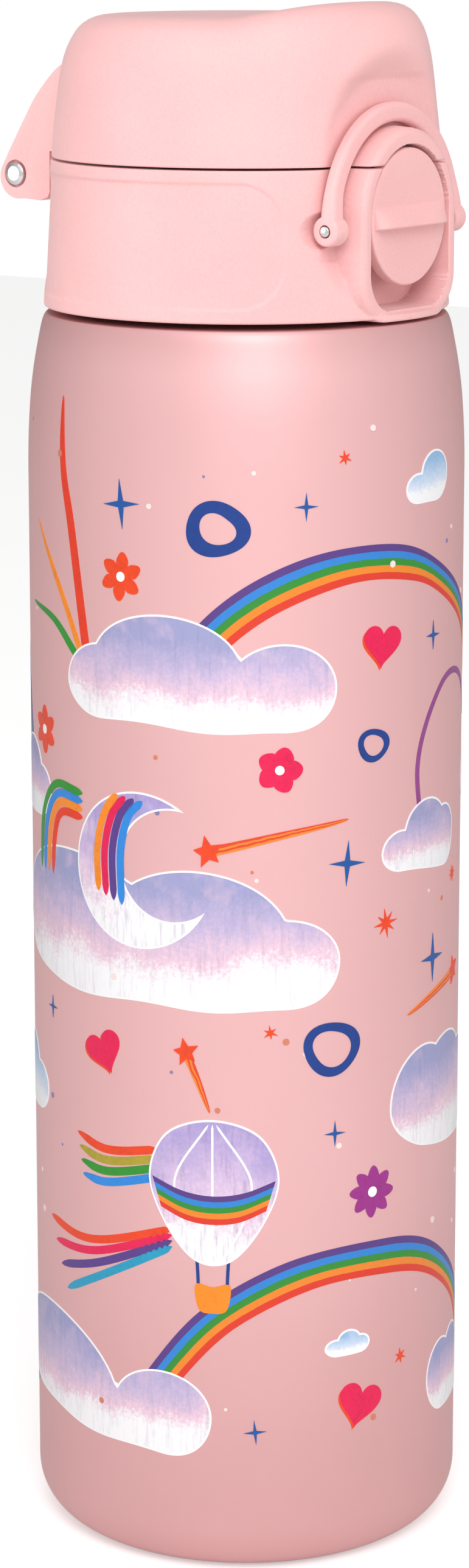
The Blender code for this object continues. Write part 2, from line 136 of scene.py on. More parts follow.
def respaced(curve: np.ndarray, stops: Sequence[tuple[float, float]]) -> np.ndarray:
    """Resample a polyline with a spacing that changes along it.

    Args:
        curve: Polyline samples.
        stops: (length reached, spacing up to there) in order.

    Returns:
        The resampled polyline.
    """
    lengths = np.concatenate([[0.0], np.cumsum(np.linalg.norm(np.diff(curve, axis=0), axis=1))])
    where, at = [], 0.0
    for reach, spacing in stops:
        reach = min(reach, lengths[-1])
        count = max(1, int(round((reach - at) / spacing)))
        where.extend(np.linspace(at, reach, count, endpoint=False))
        at = reach
    where.append(lengths[-1])
    return np.stack([np.interp(where, lengths, curve[:, k]) for k in range(curve.shape[1])], axis=1)


# --------------------------------------------------------------------------
# Meshes
# --------------------------------------------------------------------------

@dataclass
class Solid:
    """Vertices in millimetres, faces and optional UVs of a piece in the making."""

    verts: np.ndarray
    faces: list[tuple[int, ...]]
    uvs: np.ndarray | None = None

    def joined(self, other: "Solid") -> "Solid":
        """Both solids as one.

        Args:
            other: Solid to append.

        Returns:
            The combined solid.
        """
        shift = len(self.verts)
        uvs = None
        if self.uvs is not None and other.uvs is not None:
            uvs = np.vstack([self.uvs, other.uvs])
        return Solid(np.vstack([self.verts, other.verts]),
                     self.faces + [tuple(i + shift for i in f) for f in other.faces], uvs)

    def moved(self, matrix: Matrix) -> "Solid":
        """The solid transformed by a 4x4 matrix in millimetres."""
        m = np.array(matrix)
        return Solid(self.verts @ m[:3, :3].T + m[:3, 3], self.faces, self.uvs)

    def to_object(self, name: str, sharp: float = 50.0) -> bpy.types.Object:
        """Make a smooth-shaded object in metres with outward normals.

        Args:
            name: Object name.
            sharp: Angle in degrees above which an edge stays sharp.

        Returns:
            The new object, linked to the scene.
        """
        mesh = bpy.data.meshes.new(name)
        mesh.from_pydata((self.verts * MM).tolist(), [], self.faces)
        if self.uvs is not None:
            layer = mesh.uv_layers.new(name="flat")
            index = np.empty(len(mesh.loops), np.int32)
            mesh.loops.foreach_get("vertex_index", index)
            layer.data.foreach_set("uv", self.uvs[index].astype(np.float32).ravel())
        return mesh_object(name, mesh, sharp)


def mesh_object(name: str, mesh: bpy.types.Mesh, sharp: float = 50.0) -> bpy.types.Object:
    """Wrap a mesh in an object, make its normals point out and shade it smooth.

    Args:
        name: Object name.
        mesh: Mesh to wrap.
        sharp: Angle in degrees above which an edge stays sharp.

    Returns:
        The new object, linked to the scene.
    """
    bm = bmesh.new()
    bm.from_mesh(mesh)
    bmesh.ops.recalc_face_normals(bm, faces=bm.faces)
    bm.to_mesh(mesh)
    bm.free()
    mesh.shade_smooth()
    mesh.set_sharp_from_angle(angle=math.radians(sharp))
    obj = bpy.data.objects.new(name, mesh)
    bpy.context.collection.objects.link(obj)
    return obj


def quads(rows: int, cols: int, wrap_cols: bool, wrap_rows: bool, start: int = 0) -> list[tuple[int, ...]]:
    """Faces of a grid of points stored row by row.

    Args:
        rows: Number of rows.
        cols: Points per row.
        wrap_cols: Whether each row closes on itself.
        wrap_rows: Whether the last row joins the first.
        start: Index of the first point.

    Returns:
        The quads.
    """
    faces = []
    for i in range(rows if wrap_rows else rows - 1):
        n = (i + 1) % rows
        for j in range(cols if wrap_cols else cols - 1):
            k = (j + 1) % cols
            faces.append((start + i * cols + j, start + i * cols + k, start + n * cols + k,
                          start + n * cols + j))
    return faces


def sweep(rings: np.ndarray) -> Solid:
    """Closed solid skinned through equal rings, with flat ends.

    Args:
        rings: (stations, points, 3) array.

    Returns:
        The solid.
    """
    rows, cols = rings.shape[:2]
    faces = quads(rows, cols, True, False)
    faces.append(tuple(range(cols)))
    faces.append(tuple(range((rows - 1) * cols, rows * cols)))
    return Solid(rings.reshape(-1, 3), faces)


def lathe(profile: Sequence[Point2] | np.ndarray, segments: int = 128) -> Solid:
    """Turn a (radius, height) profile round Z.

    Args:
        profile: Points; the chain closes on the axis at both ends, or end to start.
        segments: Facets round the axis.

    Returns:
        The closed solid.
    """
    pts = np.array(profile, float)
    on_axis = pts[0, 0] < 1e-9
    inner = pts[1:-1] if on_axis else pts
    angle = np.linspace(0.0, 2 * np.pi, segments, endpoint=False)
    ring = np.stack([np.cos(angle), np.sin(angle)], axis=1)
    grid = np.concatenate([inner[:, None, :1] * ring[None], np.repeat(inner[:, None, 1:], segments, axis=1)],
                          axis=2)
    faces = quads(len(inner), segments, True, not on_axis)
    verts = grid.reshape(-1, 3)
    if on_axis:
        return poled(verts, faces, segments, pts[0, 1], pts[-1, 1])
    return Solid(verts, faces)


def poled(verts: np.ndarray, faces: list[tuple[int, ...]], cols: int, first: float, last: float) -> Solid:
    """Close the first and last row of a grid on the Z axis.

    Args:
        verts: Grid points.
        faces: Grid faces.
        cols: Points per row.
        first: Height of the pole next to the first row.
        last: Height of the pole next to the last row.

    Returns:
        The closed solid.
    """
    count = len(verts)
    end = count - cols
    fans = []
    for j in range(cols):
        k = (j + 1) % cols
        fans.append((count, k, j))
        fans.append((count + 1, end + j, end + k))
    return Solid(np.vstack([verts, [[0.0, 0.0, first], [0.0, 0.0, last]]]), faces + fans)


ALONG_Y = Matrix.Rotation(math.radians(90), 4, "X")

HINGE: Point2 = (-36.7, 206.0)
HINGE_BORE = 1.3
AXLE_BORE = 0.95
BORE_HALF = 12.0
AXLE_BORE_HALF = 20.0
THREAD_LEAD = 4.0
THREAD_TURNS = 1.25
VENT_PLACE = Matrix.Translation((-15.1, 0, 0))


def softened(obj: bpy.types.Object, width: float, segments: int = 3, angle: float = 35.0) -> bpy.types.Object:
    """Round the edges of an object with a bevel and keep the plain mesh.

    Args:
        obj: Object to round.
        width: Bevel width in millimetres.
        segments: Steps across the bevel.
        angle: Edges sharper than this many degrees are rounded.

    Returns:
        The same object.
    """
    bevel = obj.modifiers.new("soften", "BEVEL")
    bevel.width = width * MM
    bevel.segments = segments
    bevel.limit_method = "ANGLE"
    bevel.angle_limit = math.radians(angle)
    return baked(obj)


def plate(outline: Sequence[Point2] | np.ndarray, sides: Sequence[float] | np.ndarray) -> Solid:
    """Prism of an X-Z outline through the given Y stations."""
    return sweep(np.array([[(x, y, z) for x, z in outline] for y in sides]))


def cut(obj: bpy.types.Object, tool: bpy.types.Object) -> bpy.types.Object:
    """Cut a tool out of an object and remove the tool.

    Args:
        obj: Object to cut.
        tool: Object that is taken away.

    Returns:
        The cut object.
    """
    mod = obj.modifiers.new("cut", "BOOLEAN")
    mod.solver = "EXACT"
    mod.object = tool
    baked(obj)
    bpy.data.objects.remove(tool, do_unlink=True)
    return obj


def baked(obj: bpy.types.Object) -> bpy.types.Object:
    """Turn an object's modifiers into its plain mesh.

    Args:
        obj: Object with modifiers.

    Returns:
        The same object without modifiers.
    """
    graph = bpy.context.evaluated_depsgraph_get()
    graph.update()
    mesh = bpy.data.meshes.new_from_object(obj.evaluated_get(graph))
    obj.modifiers.clear()
    old = obj.data
    mesh.name = obj.name
    obj.data = mesh
    bpy.data.meshes.remove(old)
    return obj


# --------------------------------------------------------------------------
# Node trees
# --------------------------------------------------------------------------

class NodeBuilder:
    """Adds nodes to a tree, with their inputs filled or linked in the same call."""

    prefix = "ShaderNode"

    def __init__(self, tree: bpy.types.NodeTree) -> None:
        """Take the tree to build in."""
        self.nodes = tree.nodes
        self.links = tree.links

    def node(self, kind: str, settings: dict[str, object] | None = None, **inputs: object) -> bpy.types.Node:
        """Add a node, set its properties and fill or link its inputs.

        Args:
            kind: Node type without the builder's prefix, or a full type name.
            settings: Node properties.
            **inputs: Socket name (spaces as underscores) or _index to value or socket.

        Returns:
            The node.
        """
        full = kind if kind.startswith(("ShaderNode", "FunctionNode")) else self.prefix + kind
        made = self.nodes.new(full)
        for key, value in (settings or {}).items():
            setattr(made, key, value)
        for key, value in inputs.items():
            socket = made.inputs[int(key[1:])] if key[0] == "_" else made.inputs[key.replace("_", " ")]
            if isinstance(value, bpy.types.NodeSocket):
                self.links.new(value, socket)
            else:
                socket.default_value = value
        return made

    def math(self, operation: str, a: object, b: object = 0.0, clamp: bool = False) -> bpy.types.NodeSocket:
        """Add a math node."""
        settings = {"operation": operation, "use_clamp": clamp}
        return self.node("ShaderNodeMath", settings, _0=a, _1=b).outputs[0]


class Tree(NodeBuilder):
    """Small builder for a Geometry Nodes group with named inputs."""

    prefix = "GeometryNode"

    def __init__(self, name: str) -> None:
        """Start an empty group with a geometry input and output."""
        self.group = bpy.data.node_groups.new(name, "GeometryNodeTree")
        super().__init__(self.group)
        self.group.interface.new_socket("Geometry", in_out="INPUT", socket_type="NodeSocketGeometry")
        self.group.interface.new_socket("Geometry", in_out="OUTPUT", socket_type="NodeSocketGeometry")
        self.source = self.nodes.new("NodeGroupInput")
        self.sink = self.nodes.new("NodeGroupOutput")

    def input(self, name: str, kind: str, default: object = None) -> bpy.types.NodeSocket:
        """Add a named input.

        Args:
            name: Socket name.
            kind: Socket type, such as "Float".
            default: Default value, if any.

        Returns:
            The socket inside the group.
        """
        item = self.group.interface.new_socket(name, in_out="INPUT", socket_type="NodeSocket" + kind)
        if default is not None:
            item.default_value = default
        return self.source.outputs[name]

    def end(self, geometry: bpy.types.NodeSocket) -> "Tree":
        """Realise instances, set the material and close the group.

        Args:
            geometry: Geometry to hand out.

        Returns:
            The tree.
        """
        material = self.input("Material", "Material")
        real = self.node("RealizeInstances", Geometry=geometry)
        dressed = self.node("SetMaterial", Geometry=real.outputs[0], Material=material)
        self.links.new(dressed.outputs[0], self.sink.inputs[0])
        return self

    def applied(self, obj: bpy.types.Object, values: dict[str, object]) -> bpy.types.Object:
        """Run the tree on an object and keep the plain mesh.

        Args:
            obj: Object whose mesh goes in.
            values: Named inputs.

        Returns:
            The same object with the result as its mesh.
        """
        mod = obj.modifiers.new(self.group.name, "NODES")
        mod.node_group = self.group
        for item in self.group.interface.items_tree:
            if item.item_type == "SOCKET" and item.in_out == "INPUT" and item.name in values:
                mod[item.identifier] = values[item.name]
        return baked(obj)


def empty_mesh_object(name: str) -> bpy.types.Object:
    """Object with no geometry for a tree that makes its own.

    Args:
        name: Object name.

    Returns:
        The linked object.
    """
    obj = bpy.data.objects.new(name, bpy.data.meshes.new(name))
    bpy.context.collection.objects.link(obj)
    return obj


def coil_tree() -> Tree:
    """Helical wire or ridge: a spiral curve swept with a round profile.

    Returns:
        The tree; inputs Turns, Radius, Rise, Wire, Centre, Tilt and Material.
    """
    tree = Tree("coil")
    turns = tree.input("Turns", "Float", 2.0)
    radius = tree.input("Radius", "Float", 0.01)
    rise = tree.input("Rise", "Float", 0.01)
    wire = tree.input("Wire", "Float", 0.001)
    centre = tree.input("Centre", "Vector")
    tilt = tree.input("Tilt", "Vector")
    spiral = tree.node("CurveSpiral", Resolution=64, Rotations=turns, Start_Radius=radius,
                       End_Radius=radius, Height=rise)
    factor = tree.node("SplineParameter").outputs["Factor"]
    edge = tree.math("MINIMUM", factor, tree.math("SUBTRACT", 1.0, factor))
    taper = tree.math("MINIMUM", tree.math("ADD", tree.math("MULTIPLY", edge, 14.0), 0.15), 1.0)
    thin = tree.node("SetCurveRadius", Curve=spiral.outputs[0], Radius=taper)
    profile = tree.node("CurvePrimitiveCircle", Resolution=12, Radius=wire)
    body = tree.node("CurveToMesh", Curve=thin.outputs[0], Profile_Curve=profile.outputs[0])
    body.inputs["Fill Caps"].default_value = True
    scale = body.inputs.get("Scale")
    if scale is not None:
        tree.links.new(taper, scale)
    placed = tree.node("Transform", Geometry=body.outputs[0], Translation=centre, Rotation=tilt)
    smooth = tree.node("SetShadeSmooth", Geometry=placed.outputs[0])
    return tree.end(smooth.outputs[0])


def wrap_tree() -> Tree:
    """Bend a flat print (x along the girth, -y outwards, z up) onto the bottle wall.

    Returns:
        The tree; inputs Radius, Shoulder, Drop, Reach, Power, Shift and Material.
    """
    tree = Tree("wrap_print")
    geometry = tree.source.outputs["Geometry"]
    radius = tree.input("Radius", "Float", 0.0325)
    shoulder = tree.input("Shoulder", "Float", 0.165)
    drop = tree.input("Drop", "Float", 0.0025)
    reach = tree.input("Reach", "Float", 0.0219)
    power = tree.input("Power", "Float", 2.2)
    shift = tree.input("Shift", "Float", 0.0)
    parts = tree.node("ShaderNodeSeparateXYZ", _0=tree.node("InputPosition").outputs[0]).outputs
    along = tree.math("MAXIMUM", tree.math("DIVIDE", tree.math("SUBTRACT", parts[2], shoulder), reach), 0.0)
    wall = tree.math("SUBTRACT", radius, tree.math("MULTIPLY", tree.math("POWER", along, power), drop))
    out = tree.math("SUBTRACT", wall, parts[1])
    angle = tree.math("DIVIDE", tree.math("ADD", parts[0], shift), radius)
    x = tree.math("MULTIPLY", out, tree.math("COSINE", angle))
    y = tree.math("MULTIPLY", out, tree.math("SINE", angle))
    place = tree.node("ShaderNodeCombineXYZ", _0=x, _1=y, _2=parts[2])
    bent = tree.node("SetPosition", Geometry=geometry, Position=place.outputs[0])
    return tree.end(bent.outputs[0])


def spray_tree() -> Tree:
    """Scatter small raised dots of random size over a flat patch.

    Returns:
        The tree; inputs Width, Height, Corner, Seed, Density, Dot and Material.
    """
    tree = Tree("spray_dots")
    width = tree.input("Width", "Float", 0.1)
    height = tree.input("Height", "Float", 0.15)
    corner = tree.input("Corner", "Vector")
    density = tree.input("Density", "Float", 2000.0)
    seed = tree.input("Seed", "Int", 1)
    dot = tree.input("Dot", "Float", 0.0004)
    patch = tree.node("MeshGrid", Size_X=width, Size_Y=height, Vertices_X=12, Vertices_Y=16)
    points = tree.node("DistributePointsOnFaces", Mesh=patch.outputs[0], Density=density, Seed=seed)
    shape = tree.node("MeshCylinder", Vertices=14, Radius=dot, Depth=0.00012)
    size = tree.node("FunctionNodeRandomValue", {"data_type": "FLOAT"}, Seed=seed)
    size.inputs[2].default_value = 0.45
    size.inputs[3].default_value = 1.3
    spread = tree.node("InstanceOnPoints", Points=points.outputs[0], Instance=shape.outputs[0],
                       Scale=size.outputs[1])
    raised = tree.node("Transform", Geometry=spread.outputs[0], Translation=corner,
                       Rotation=(math.radians(90), 0.0, 0.0))
    return tree.end(raised.outputs[0])


def petal_tree() -> Tree:
    """Repeat one flat petal round a centre.

    Returns:
        The tree; inputs Geometry, Count, Centre, Turn and Material.
    """
    tree = Tree("petal_ring")
    petal = tree.source.outputs["Geometry"]
    count = tree.input("Count", "Int", 6)
    centre = tree.input("Centre", "Vector")
    turn = tree.input("Turn", "Float", 0.0)
    line = tree.node("MeshLine", Count=count)
    line.inputs["Offset"].default_value = (0.0, 0.0, 0.0)
    index = tree.node("InputIndex").outputs[0]
    step = tree.math("DIVIDE", 2 * math.pi, count)
    angle = tree.math("ADD", tree.math("MULTIPLY", index, step), turn)
    spin = tree.node("ShaderNodeCombineXYZ", _1=angle)
    ring = tree.node("InstanceOnPoints", Points=line.outputs[0], Instance=petal, Rotation=spin.outputs[0])
    placed = tree.node("Transform", Geometry=ring.outputs[0], Translation=centre)
    return tree.end(placed.outputs[0])


# --------------------------------------------------------------------------
# Finishes
# --------------------------------------------------------------------------

class Shader(NodeBuilder):
    """Small builder for a node material round one Principled shader."""

    def __init__(self, name: str) -> None:
        """Start a material with an empty colour chain.

        Args:
            name: Material name.
        """
        self.material = bpy.data.materials.new(name)
        self.material.use_nodes = True
        super().__init__(self.material.node_tree)
        self.principled = self.nodes["Principled BSDF"]
        self.coords = self.nodes.new("ShaderNodeTexCoord")

    def noise(self, scale: float, detail: float = 2.0, stretch: Sequence[float] = (1.0, 1.0, 1.0),
              rough: float = 0.55, source: str = "Object") -> bpy.types.NodeSocket:
        """Noise on the piece's own coordinates.

        Args:
            scale: Cycles per metre before stretching.
            detail: Octaves.
            stretch: Scale factor per axis.
            rough: Roughness of the octaves.
            source: Coordinate output to read.

        Returns:
            The noise value, 0 to 1.
        """
        place = self.node("Mapping", Vector=self.coords.outputs[source], Scale=tuple(stretch))
        return self.node("TexNoise", Vector=place.outputs[0], Scale=scale, Detail=detail,
                         Roughness=rough).outputs["Fac"]

    def ramp(self, factor: bpy.types.NodeSocket, stops: Sequence[tuple[float, Colour]],
             blend: str = "LINEAR") -> bpy.types.NodeSocket:
        """Colour ramp.

        Args:
            factor: Position on the ramp.
            stops: (position, colour) in order.
            blend: Interpolation.

        Returns:
            The colour socket.
        """
        made = self.node("ValToRGB", Fac=factor)
        ramp = made.color_ramp
        ramp.interpolation = blend
        for k, (at, colour) in enumerate(stops):
            stop = ramp.elements[k] if k < 2 else ramp.elements.new(at)
            stop.position = at
            stop.color = (*colour, 1.0)
        return made.outputs[0]

    def mix(self, factor: object, a: object, b: object, how: str = "MIX") -> bpy.types.NodeSocket:
        """Mix two colours.

        Args:
            factor: Mix factor.
            a: First colour or socket.
            b: Second colour or socket.
            how: Blend type.

        Returns:
            The colour socket.
        """
        made = self.node("Mix", {"data_type": "RGBA", "blend_type": how}, _0=factor)
        for index, value in ((6, a), (7, b)):
            if isinstance(value, bpy.types.NodeSocket):
                self.links.new(value, made.inputs[index])
            else:
                made.inputs[index].default_value = (*value, 1.0)
        return made.outputs[2]

    def finish(self, colour: object, rough: object, bump: bpy.types.NodeSocket | None = None,
               depth: float = 0.0, strength: float = 1.0, **constants: float) -> bpy.types.Material:
        """Wire the chains into the Principled shader.

        Args:
            colour: Base colour or socket.
            rough: Roughness or socket.
            bump: Height of the surface grain, if any.
            depth: Bump distance in metres.
            strength: Bump strength.
            **constants: Other Principled inputs by name, spaces as underscores.

        Returns:
            The finished material.
        """
        for name, value in (("Base Color", colour), ("Roughness", rough)):
            socket = self.principled.inputs[name]
            if isinstance(value, bpy.types.NodeSocket):
                self.links.new(value, socket)
            else:
                socket.default_value = (*value, 1.0) if name == "Base Color" else value
        for name, value in constants.items():
            self.principled.inputs[name.replace("_", " ")].default_value = value
        if bump is not None:
            made = self.node("Bump", Height=bump, Distance=depth, Strength=strength)
            self.links.new(made.outputs[0], self.principled.inputs["Normal"])
        return self.material


@dataclass(frozen=True)
class Finish:
    """Base of every finish; one material is made and shared."""

    name: str

    def build(self) -> bpy.types.Material:
        """Make the material."""
        raise NotImplementedError

    def material(self) -> bpy.types.Material:
        """The shared material."""
        return bpy.data.materials.get(self.name) or self.build()


@dataclass(frozen=True)
class MouldedGrain(Finish):
    """Matte plastic with the fine spark-eroded grain of a mould."""

    colour: Colour
    shade: Colour
    rough: float = 0.52
    grain: float = 2600.0
    depth: float = 0.00005

    def build(self) -> bpy.types.Material:
        """Make the material.

        Returns:
            The new material.
        """
        s = Shader(self.name)
        cloudy = s.noise(55.0, 2.0)
        fleck = s.noise(self.grain, 2.0, rough=0.7)
        tone = s.math("ADD", s.math("MULTIPLY", cloudy, 0.45), s.math("MULTIPLY", fleck, 0.55))
        colour = s.ramp(tone, [(0.30, self.shade), (0.62, self.colour)])
        rough = s.math("ADD", s.math("MULTIPLY", fleck, 0.12), self.rough - 0.06)
        pits = s.node("TexVoronoi", {"feature": "F1"}, Vector=s.coords.outputs["Object"],
                      Scale=self.grain * 0.9).outputs["Distance"]
        height = s.math("ADD", s.math("MULTIPLY", pits, 0.5), fleck)
        return s.finish(colour, rough, height, self.depth, 0.45, Specular_IOR_Level=0.4,
                        Sheen_Weight=0.2, Sheen_Roughness=0.5)


@dataclass(frozen=True)
class FrostedShell(Finish):
    """Satin frosted bottle wall with painted shade: its colour darkens towards the foot and under the collar
    at the shoulder.
    """

    colour: Colour
    # Darker tone for the painted shade at foot and shoulder, also used for the frost specks.
    edge: Colour
    rough: float = 0.44

    def build(self) -> bpy.types.Material:
        """Make the material.

        Returns:
            The new material.
        """
        s = Shader(self.name)
        parts = s.node("SeparateXYZ", Vector=s.coords.outputs["Object"])
        height = parts.outputs["Z"]
        # Painted shade: masks that darken the wall towards the foot and just under the collar at the
        # shoulder.
        foot = s.node("MapRange", {"interpolation_type": "SMOOTHSTEP"}, Value=height, From_Min=0.075,
                      From_Max=0.002).outputs[0]
        neck = s.node("MapRange", {"interpolation_type": "SMOOTHSTEP"}, Value=height, From_Min=0.180,
                      From_Max=0.190).outputs[0]
        cloudy = s.noise(28.0, 3.0)
        # Painted shade at foot and shoulder, plus random cloudy tone.
        painted_shade_and_cloud = s.math("ADD", s.math("MULTIPLY", s.math("MAXIMUM", foot, neck), 0.55),
                       s.math("MULTIPLY", s.math("SUBTRACT", cloudy, 0.5), 0.35), clamp=True)
        frost = s.noise(4200.0, 2.0, rough=0.7)
        tone = s.mix(painted_shade_and_cloud, self.colour, self.edge)
        colour = s.mix(s.math("MULTIPLY", frost, 0.10), tone, self.edge)
        rough = s.math("ADD", s.math("MULTIPLY", frost, 0.10), self.rough - 0.03)
        drawn = s.noise(300.0, 2.0, (1.0, 1.0, 0.04))
        relief = s.math("ADD", frost, s.math("MULTIPLY", drawn, 0.6))
        return s.finish(colour, rough, relief, 0.00002, 0.35, Specular_IOR_Level=0.45,
                        Metallic=0.35)


@dataclass(frozen=True)
class TurnedSteel(Finish):
    """Polished steel with faint turning marks."""

    colour: Colour = (0.82, 0.82, 0.83)

    def build(self) -> bpy.types.Material:
        """Make the material.

        Returns:
            The new material.
        """
        s = Shader(self.name)
        marks = s.noise(1800.0, 3.0, (1.0, 0.15, 1.0))
        stain = s.noise(500.0, 3.0)
        colour = s.mix(s.math("MULTIPLY", stain, 0.35), self.colour, (0.62, 0.62, 0.64))
        rough = s.math("ADD", s.math("MULTIPLY", marks, 0.12), 0.16)
        return s.finish(colour, rough, marks, 0.00001, 0.2, Metallic=1.0)


@dataclass(frozen=True)
class SoftSilicone(Finish):
    """Soft silicone with a dusty surface."""

    colour: Colour
    dust: Colour

    def build(self) -> bpy.types.Material:
        """Make the material.

        Returns:
            The new material.
        """
        s = Shader(self.name)
        bloom = s.noise(350.0, 4.0)
        fine = s.noise(3000.0, 2.0)
        colour = s.mix(s.math("MULTIPLY", bloom, 0.5), self.colour, self.dust)
        rough = s.math("ADD", s.math("MULTIPLY", bloom, 0.15), 0.5)
        return s.finish(colour, rough, fine, 0.00002, 0.3, Sheen_Weight=0.15)


@dataclass(frozen=True)
class Ink(Finish):
    """Opaque printed ink with the slight mottling of a crayon stroke."""

    colour: Colour
    patchy: float = 0.16

    def build(self) -> bpy.types.Material:
        """Make the material.

        Returns:
            The new material.
        """
        s = Shader(self.name)
        dry = s.noise(1500.0, 4.0, rough=0.7)
        wash = s.noise(260.0, 2.0)
        dark = tuple(c * 0.66 for c in self.colour)
        light = tuple(min(1.0, c * 1.05 + 0.01) for c in self.colour)
        tone = s.math("ADD", s.math("MULTIPLY", dry, 0.6), s.math("MULTIPLY", wash, 0.4))
        mottled = s.ramp(tone, [(0.28, dark), (0.5, self.colour), (0.75, light)])
        colour = s.mix(self.patchy * 4.0, self.colour, mottled)
        return s.finish(colour, 0.42, dry, 0.00002, 0.25, Specular_IOR_Level=0.4)


@dataclass(frozen=True)
class Stripes(Finish):
    """Flat print with ordered colour bands across it and hand-drawn edges."""

    bands: tuple[Colour, ...]
    wobble: float = 0.02

    def build(self) -> bpy.types.Material:
        """Make the material.

        Returns:
            The new material.
        """
        s = Shader(self.name)
        flat = s.node("SeparateXYZ", Vector=s.coords.outputs["UV"])
        shake = s.math("MULTIPLY", s.math("SUBTRACT", s.noise(500.0, 2.0), 0.5), self.wobble)
        across = s.math("ADD", flat.outputs["Y"], shake)
        step = 1.0 / len(self.bands)
        colour = s.ramp(across, [(k * step, band) for k, band in enumerate(self.bands)], "CONSTANT")
        dry = s.noise(1300.0, 4.0, rough=0.7)
        chalk = s.mix(s.math("MULTIPLY", dry, 0.22), colour, (0.08, 0.05, 0.10))
        return s.finish(chalk, 0.42, dry, 0.00002, 0.25, Specular_IOR_Level=0.4)


@dataclass(frozen=True)
class Watercolour(Finish):
    """Wash that runs from a cool top over lilac and rose to white, with paper grain."""

    top: Colour
    middle: Colour
    rose: Colour
    low: Colour
    hatch: float = 0.0
    spread: float = 0.42

    def build(self) -> bpy.types.Material:
        """Make the material.

        Returns:
            The new material.
        """
        s = Shader(self.name)
        up = s.node("SeparateXYZ", Vector=s.coords.outputs["UV"]).outputs["Y"]
        drift = s.math("MULTIPLY", s.math("SUBTRACT", s.noise(120.0, 3.0), 0.5), self.spread)
        paper = s.noise(1700.0, 4.0, rough=0.75)
        bleed = s.math("MULTIPLY", s.math("SUBTRACT", paper, 0.5), 0.42)
        level = s.math("ADD", s.math("ADD", up, drift), bleed)
        wash = s.ramp(level, [(0.06, self.low), (0.20, self.low), (0.36, self.rose), (0.56, self.middle),
                              (0.84, self.top)])
        patch = s.noise(260.0, 3.0)
        rosy = s.math("MULTIPLY", s.node("MapRange", Value=patch, From_Min=0.52, From_Max=0.75).outputs[0],
                      0.45)
        body = s.mix(rosy, wash, self.rose)
        pale = s.node("MapRange", Value=level, From_Min=0.34, From_Max=0.12).outputs[0]
        colour = s.mix(pale, body, self.low)
        strokes = s.noise(900.0, 3.0, (1.6, 1.6, 0.18), 0.65)
        drawn = s.math("MULTIPLY", s.node("MapRange", Value=strokes, From_Min=0.50, From_Max=0.72).outputs[0],
                       self.hatch)
        pencil = s.mix(drawn, colour, tuple(c * 0.55 for c in self.top))
        grain = s.mix(s.math("MULTIPLY", paper, 0.14), pencil, tuple(c * 0.7 for c in self.middle))
        return s.finish(grain, 0.45, paper, 0.00002, 0.3, Specular_IOR_Level=0.4)


CAP_FINISH = MouldedGrain("cap_pink_moulded", linear(240, 185, 184), linear(232, 174, 175))
# The second colour is the darker tone of the painted shade at foot and shoulder, and of the frost specks.
BODY_FINISH = FrostedShell("body_rose_frosted", linear(240, 188, 189), linear(206, 152, 152))
STEEL_FINISH = TurnedSteel("polished_steel")
SPOUT_FINISH = SoftSilicone("spout_silicone", linear(243, 238, 233), linear(228, 222, 218))
SEAL_FINISH = SoftSilicone("seal_silicone", linear(236, 234, 232), linear(215, 214, 214))
PLUG_FINISH = MouldedGrain("plug_white_moulded", linear(244, 240, 238), linear(232, 227, 226), 0.35, 1800.0)

PERIWINKLE = linear(160, 162, 206)
LILAC = linear(204, 186, 220)
ROSE = linear(242, 206, 222)
PAPER = linear(254, 253, 254)
CLOUD_FINISH = Watercolour("cloud_wash", PERIWINKLE, LILAC, ROSE, PAPER, 0.22)
SKY_FINISH = Watercolour("sky_wash", linear(150, 188, 228), linear(190, 214, 240), linear(222, 232, 248),
                         PAPER)
MOON_FINISH = Watercolour("moon_wash", linear(176, 160, 214), linear(214, 190, 226), linear(240, 214, 232),
                          PAPER, 0.5, 0.7)
OUTLINE_FINISH = Ink("print_white", linear(252, 251, 252), 0.03)


class Hue(Enum):
    """Printing inks."""

    PURPLE = linear(90, 60, 138)
    SKY = linear(44, 138, 222)
    GREEN = linear(44, 148, 44)
    ORANGE = linear(250, 142, 30)
    RED = linear(234, 58, 24)
    CRIMSON = linear(232, 20, 82)
    VIVID_ORANGE = linear(238, 70, 26)
    INDIGO = linear(22, 60, 138)
    BLUE = linear(26, 84, 160)
    PLUM = linear(158, 44, 138)
    OLIVE = linear(178, 160, 48)
    TEAL = linear(34, 158, 196)
    MAUVE = linear(150, 68, 140)


BOW = (Hue.RED, Hue.ORANGE, Hue.GREEN, Hue.SKY, Hue.PURPLE)
FLAME = (Hue.VIVID_ORANGE, Hue.ORANGE, Hue.VIVID_ORANGE, Hue.ORANGE)
RAINBOW_FINISH = Stripes("rainbow_bands", tuple(hue.value for hue in BOW))
COMET_FINISH = Stripes("comet_bands", tuple(hue.value for hue in FLAME), 0.5)
DOT_WHITE = Ink("dot_white", linear(246, 226, 224), 0.05)
DOT_WARM = Ink("dot_warm", linear(214, 130, 104), 0.1)
DOT_COOL = Ink("dot_cool", linear(136, 130, 176), 0.1)


def dressed(obj: bpy.types.Object, finish: Finish, body: Body, slot: Slot,
            replaces: Iterable[str] = ()) -> bpy.types.Object:
    """Give a piece its finish, body and the CAD nodes it stands for.

    Args:
        obj: Finished piece in the row frame.
        finish: Finish to use.
        body: CAD body it moves with.
        slot: Material slot of the record; not used.
        replaces: CAD nodes that it stands for.

    Returns:
        The piece.
    """
    obj.data.materials.clear()
    obj.data.materials.append(finish.material())
    fill = bpy.data.collections.get("cap_pieces")
    if fill is not None and body is not Body.BOTTLE:
        fill.objects.link(obj)
    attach(obj, body.value)
    for node in replaces:
        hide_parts(node)
    log.info("%s rides on %s (%d faces)", obj.name, body.value, len(obj.data.polygons))
    return obj


# --------------------------------------------------------------------------
# Latch housing shared by collar and lid
# --------------------------------------------------------------------------

